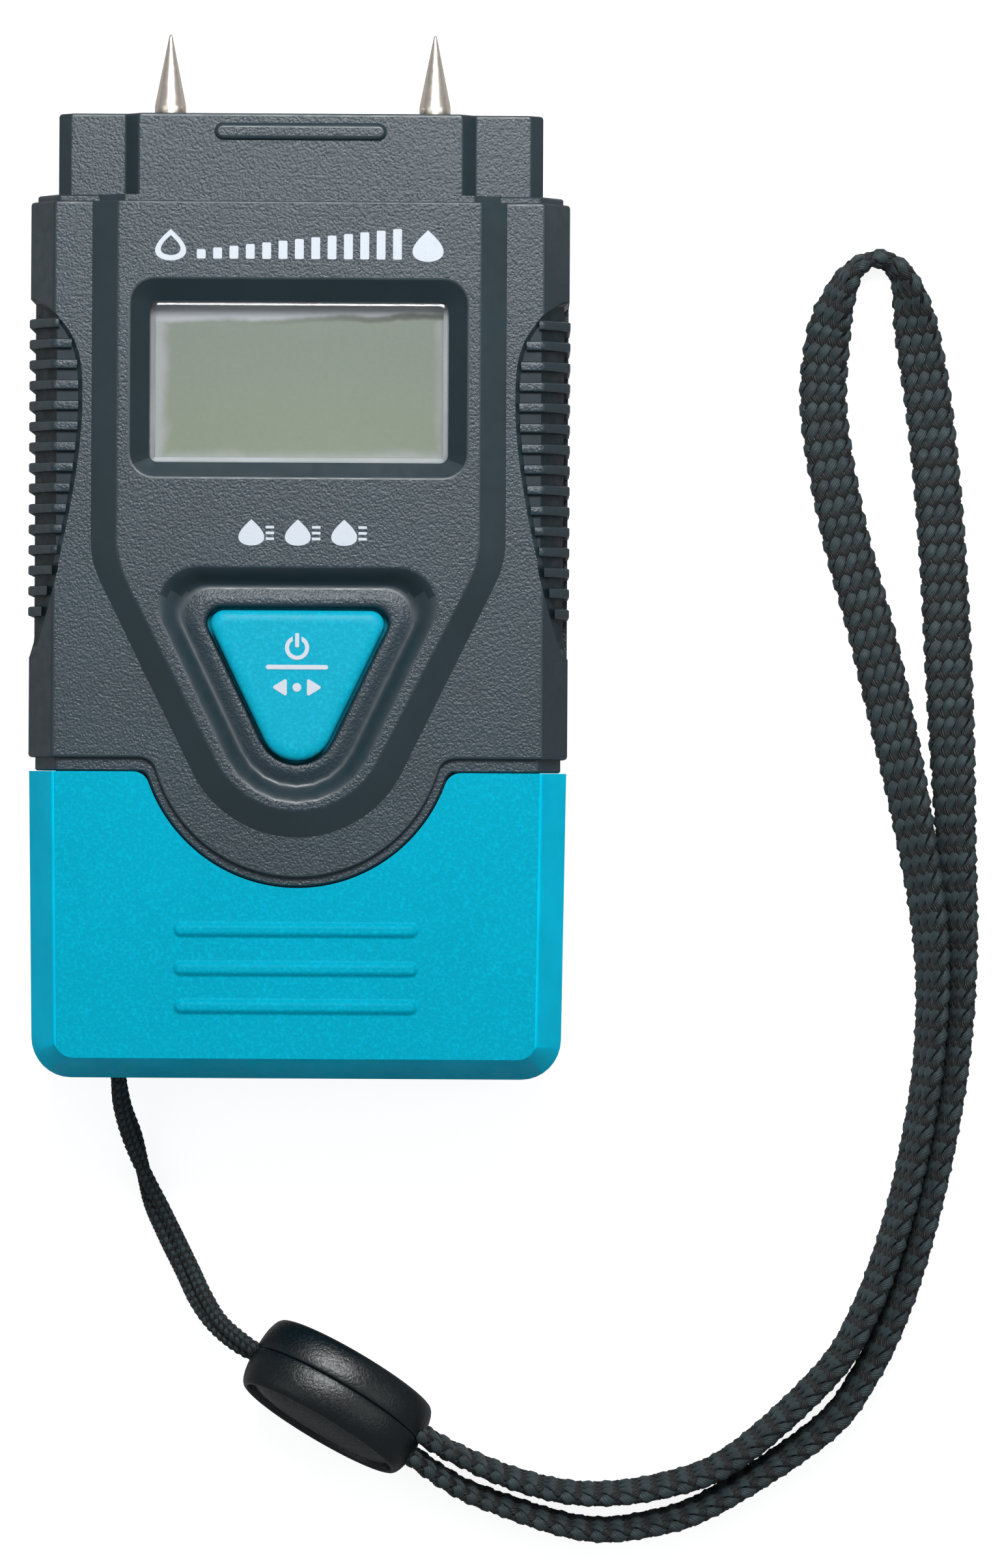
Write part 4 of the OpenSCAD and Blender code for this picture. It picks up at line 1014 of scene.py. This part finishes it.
# Half-width and half-thickness of the strap's core, and how far its yarns stand out from it
STRAP_HW, STRAP_HT, YARN_OUT = 2.0, 0.5, 0.42
LANYARD_REST = 0.8


def smooth_path(points, step):
    """Catmull-Rom curve through the points, sampled evenly."""
    p = np.array(points, float)
    p = np.vstack([2 * p[0] - p[1], p, 2 * p[-1] - p[-2]])
    dense = []
    for i in range(1, len(p) - 2):
        for t in np.linspace(0, 1, 24, endpoint=False):
            a, b, c, d = p[i - 1:i + 3]
            dense.append(0.5 * (2 * b + (c - a) * t + (2 * a - 5 * b + 4 * c - d) * t ** 2
                                + (3 * b - a - 3 * c + d) * t ** 3))
    dense.append(p[-2])
    dense = np.array(dense)
    along = distances(dense[:, :3])
    s = np.linspace(0, along[-1], max(2, int(round(along[-1] / step)) + 1))
    return np.column_stack([np.interp(s, along, dense[:, k]) for k in range(dense.shape[1])]), s


def frames_along(path, roll, ref):
    """The directions of a cord's width and thickness along its path, turned by roll degrees about it."""
    t = unit(np.gradient(path, axis=0))
    side = unit(np.cross(t, np.array(ref, float)))
    up = np.cross(side, t)
    c, s = np.cos(np.radians(roll))[:, None], np.sin(np.radians(roll))[:, None]
    wide = c * side + s * up
    return wide, np.cross(t, wide)


def stadium_point(u, a, b):
    """Point and outward normal at share u of the way round a flattened tube, by arc length."""
    flat, quarter = a - b, math.pi * b / 2
    total = 4 * flat + 4 * quarter
    d = (u % 1.0) * total
    starts = (0, quarter, quarter + 2 * flat, 3 * quarter + 2 * flat, 3 * quarter + 4 * flat, total + 1e-9)
    x, y, nx, ny = (np.zeros_like(d) for _ in range(4))
    for k in range(5):
        m = (d >= starts[k]) & (d < starts[k + 1])
        e = d[m] - starts[k]
        if k % 2:
            side = 2 - k
            x[m], y[m], ny[m] = side * (flat - e), side * b, side
        else:
            angle = (0, math.pi / 2, -math.pi / 2)[k // 2] + e / b
            nx[m], ny[m] = np.cos(angle), np.sin(angle)
            x[m], y[m] = (-flat if k == 2 else flat) + b * nx[m], b * ny[m]
    return x, y, nx, ny


def braid(name, path, wide, thin, s, half_w, half_t, per_way, pitch, yarn, sides, finishes):
    """Hollow flattened braid: per_way yarns turn each way, once round in a pitch, and pass over and under;
    the yarns turning one way lie deeper and take the second finish, a darker copy of the yarn colour that is
    painted shade.
    """
    yarn_w, yarn_t, wave, sink = yarn
    verts, faces, uvs = [], [], []
    n = len(s)
    turn = np.arange(sides) * 2 * math.pi / sides
    ca, sa = (np.sign(w) * np.abs(w) ** 0.85 for w in (np.cos(turn), np.sin(turn)))
    for way in (-1, 1):
        for j in range(per_way):
            u = way * s / pitch + j / per_way
            x, y, nx, ny = stadium_point(u, half_w, half_t)
            over = np.cos(2 * math.pi * per_way * u) * way
            lift = wave * np.tanh(1.6 * over) / math.tanh(1.6) - (sink if way < 0 else 0)
            swell = (1 + 0.22 * over)[:, None, None]
            centre = path + (x + nx * lift)[:, None] * wide + (y + ny * lift)[:, None] * thin
            normal = nx[:, None] * wide + ny[:, None] * thin
            t = unit(np.gradient(centre, axis=0))
            across = unit(np.cross(t, normal))
            normal = np.cross(across, t)
            base = sum(len(v) for v in verts)
            ring = (centre[:, None, :] + swell * (yarn_w / 2) * ca[None, :, None] * across[:, None, :]
                    + (yarn_t / 2) * sa[None, :, None] * normal[:, None, :])
            verts.append(ring.reshape(-1, 3))
            for i in range(n - 1):
                row = base + i * sides
                for k in range(sides):
                    q = (k + 1) % sides
                    faces.append((row + k, row + q, row + sides + q, row + sides + k))
                    v0, v1 = k / sides, (k + 1) / sides
                    uvs += [(s[i], v0), (s[i], v1), (s[i + 1], v1), (s[i + 1], v0)]
            for i, order in ((0, range(sides)[::-1]), (n - 1, range(sides))):
                faces.append(tuple(base + i * sides + k for k in order))
                uvs += [(s[i], k / sides) for k in order]
    mesh = bpy.data.meshes.new(name)
    mesh.from_pydata((np.vstack(verts) * MM).tolist(), [], faces)
    layer = mesh.uv_layers.new(name="UVMap")
    layer.data.foreach_set("uv", np.array(uvs, np.float32).ravel())
    mesh.shade_smooth()
    for finish in finishes:
        mesh.materials.append(finish.material)
    # The yarns turning one way take the darker second finish: painted shade
    each = len(faces) // 2
    mesh.polygons.foreach_set("material_index", [1] * each + [0] * each)
    return add_object(name, mesh)


def bead_matrix():
    turn, lean = math.radians(-30.4), math.radians(-17)
    rz = np.array([[math.cos(turn), -math.sin(turn), 0], [math.sin(turn), math.cos(turn), 0], [0, 0, 1]])
    rx = np.array([[1, 0, 0], [0, math.cos(lean), -math.sin(lean)], [0, math.sin(lean), math.cos(lean)]])
    return rz @ rx


def make_bead_half(side, finish, dome):
    """Oval half of the bead: broad rim, thin raised lip round a recess, and a low dome in it."""
    a, b = 9.15, 5.75
    dome_in, dome_end, floor, steps = 1.35, 5.6, 2.95, 10
    profile = [(0.2, 0.0), (0.05, 0.06), (0.0, 0.2), (0.01, 0.9), (0.06, 1.7), (0.17, 2.4), (0.33, 2.95),
               (0.52, 3.35), (0.72, 3.58), (0.9, 3.66), (1.05, 3.64), (1.17, 3.52), (1.25, 3.2),
               (dome_in, floor)]
    for k in range(1, steps + 1):
        g = dome_in + (dome_end - dome_in) * k / steps
        profile.append((g, floor + dome * math.sin(math.pi / 2 * k / steps) ** 0.8))
    rings = []
    for g, h in profile:
        t = np.arange(72) * 2 * math.pi / 72
        rings.append(np.column_stack([(a - g) * np.cos(t), np.full(72, side * h), (b - g) * np.sin(t)]))
    shape = placed(loft(rings), bead_matrix(), (3.9, -81.1, 6.3))
    name = "bead_front" if side < 0 else "bead_back"
    return finish_piece(temp_mesh([shape]), name, "cap", [finish], ["cord_" + name], 75,
                        weighted=False)


def make_cord(name, node, path, along, directions, *weave):
    piece = braid(name, path, *directions, along, *weave)
    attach(piece, "cap")
    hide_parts(node)
    return piece


def make_cords():
    """Both cords; returns the object, the middle line in millimetres and the length in metres of each."""
    # The second yarn finish is a darker copy of the first: painted shade on the deeper yarns
    yarns = yarn_finish("cord_nylon", linear(33, 45, 48)), yarn_finish("cord_nylon_painted_shade", linear(4, 8, 10))
    route = smooth_path(STRAP, 0.42)[0]
    # The strap's middle rides higher where the strap stands on its edge
    rest = (STRAP_HW - STRAP_HT) * np.abs(np.sin(np.radians(route[:, 3]))) + STRAP_HT + YARN_OUT
    path = np.column_stack([route[:, 0], route[:, 1], np.maximum(route[:, 2], 0) + rest])
    along = distances(path)
    strap = make_cord("strap_braid", "wrist_strap", path, along, frames_along(path, route[:, 3], (0, 0, 1)),
                      STRAP_HW, STRAP_HT, 8, 15.0, (0.86, 0.44, 0.18, 0.16), 10, yarns)

    line, s = smooth_path(LANYARD, 0.16)
    line[:, 2] = np.maximum(line[:, 2], LANYARD_REST)
    directions = frames_along(line, np.zeros(len(line)), (1, 0, 0))
    cord = make_cord("lanyard_braid", "lanyard_cord", line, s, directions,
                     0.55, 0.545, 6, 4.6, (0.4, 0.24, 0.09, 0.05), 7, yarns)
    return strap, path, along[-1] * MM, cord, line, s[-1] * MM


def make_floor():
    mesh = bpy.data.meshes.new("floor")
    reach, z = 3, -0.00002
    corners = [(-reach, -reach, z), (reach, -reach, z), (reach, reach, z), (-reach, reach, z)]
    mesh.from_pydata(corners, [], [(0, 1, 2, 3)])
    floor = add_object("floor", mesh)
    mesh.materials.append(floor_finish().material)
    only_floor = bpy.data.collections.new("only_floor")
    only_floor.objects.link(floor)
    floor.light_linking.receiver_collection = only_floor


# ---------- everything together ----------

make_camera()
cords = make_cords()
bead_plastic = grained("bead_plastic", linear(5, 12, 15), 0.33, 0.22, 0.0002, 0.36)
beads = [make_bead_half(-1, bead_plastic, 0.9), make_bead_half(1, bead_plastic, 0.9)]
make_studio()
make_floor()
case_textured = grained("case_plastic", CASE_TEXTURED, 0.36, 0.48, 0.0002, 0.4)
case_smooth = satin("case_plastic_smooth", CASE_SMOOTH, 0.38)
cap_textured = grained("cap_plastic", scaled(CAP_BLUE, 0.745), 0.5, 0.18, 0.00022, 0.03, 0.02)
# The bevels' blue is lighter than the flats': painted light
cap_smooth = satin("cap_plastic_smooth", CAP_BEVEL_LIT_BLUE, 0.42, Specular_IOR_Level=0.03)
# A darker copy of the smooth plastic: painted shade for the grip recess floors, the window slopes and the
# dish's upper slope
case_painted_shade = satin("case_plastic_painted_shade", linear(20, 34, 40), 0.5, Specular_IOR_Level=0.25)
make_case(case_textured, case_smooth, case_painted_shade)
make_cap(cap_textured, cap_smooth)
make_button(grained("button_rubber", scaled(BUTTON_BLUE, 0.7), 0.42, 0.1, 0.00024, 0.12, 0.02))
make_window(window_finish())
make_electrodes(metal("electrode_steel", linear(226, 216, 204), 0.3, wear=0.35))
make_door(case_textured, case_smooth)
make_screws(metal("case_screw_steel", linear(170, 170, 168), 0.3))
make_prints(print_finish())
dress_cad_nodes()
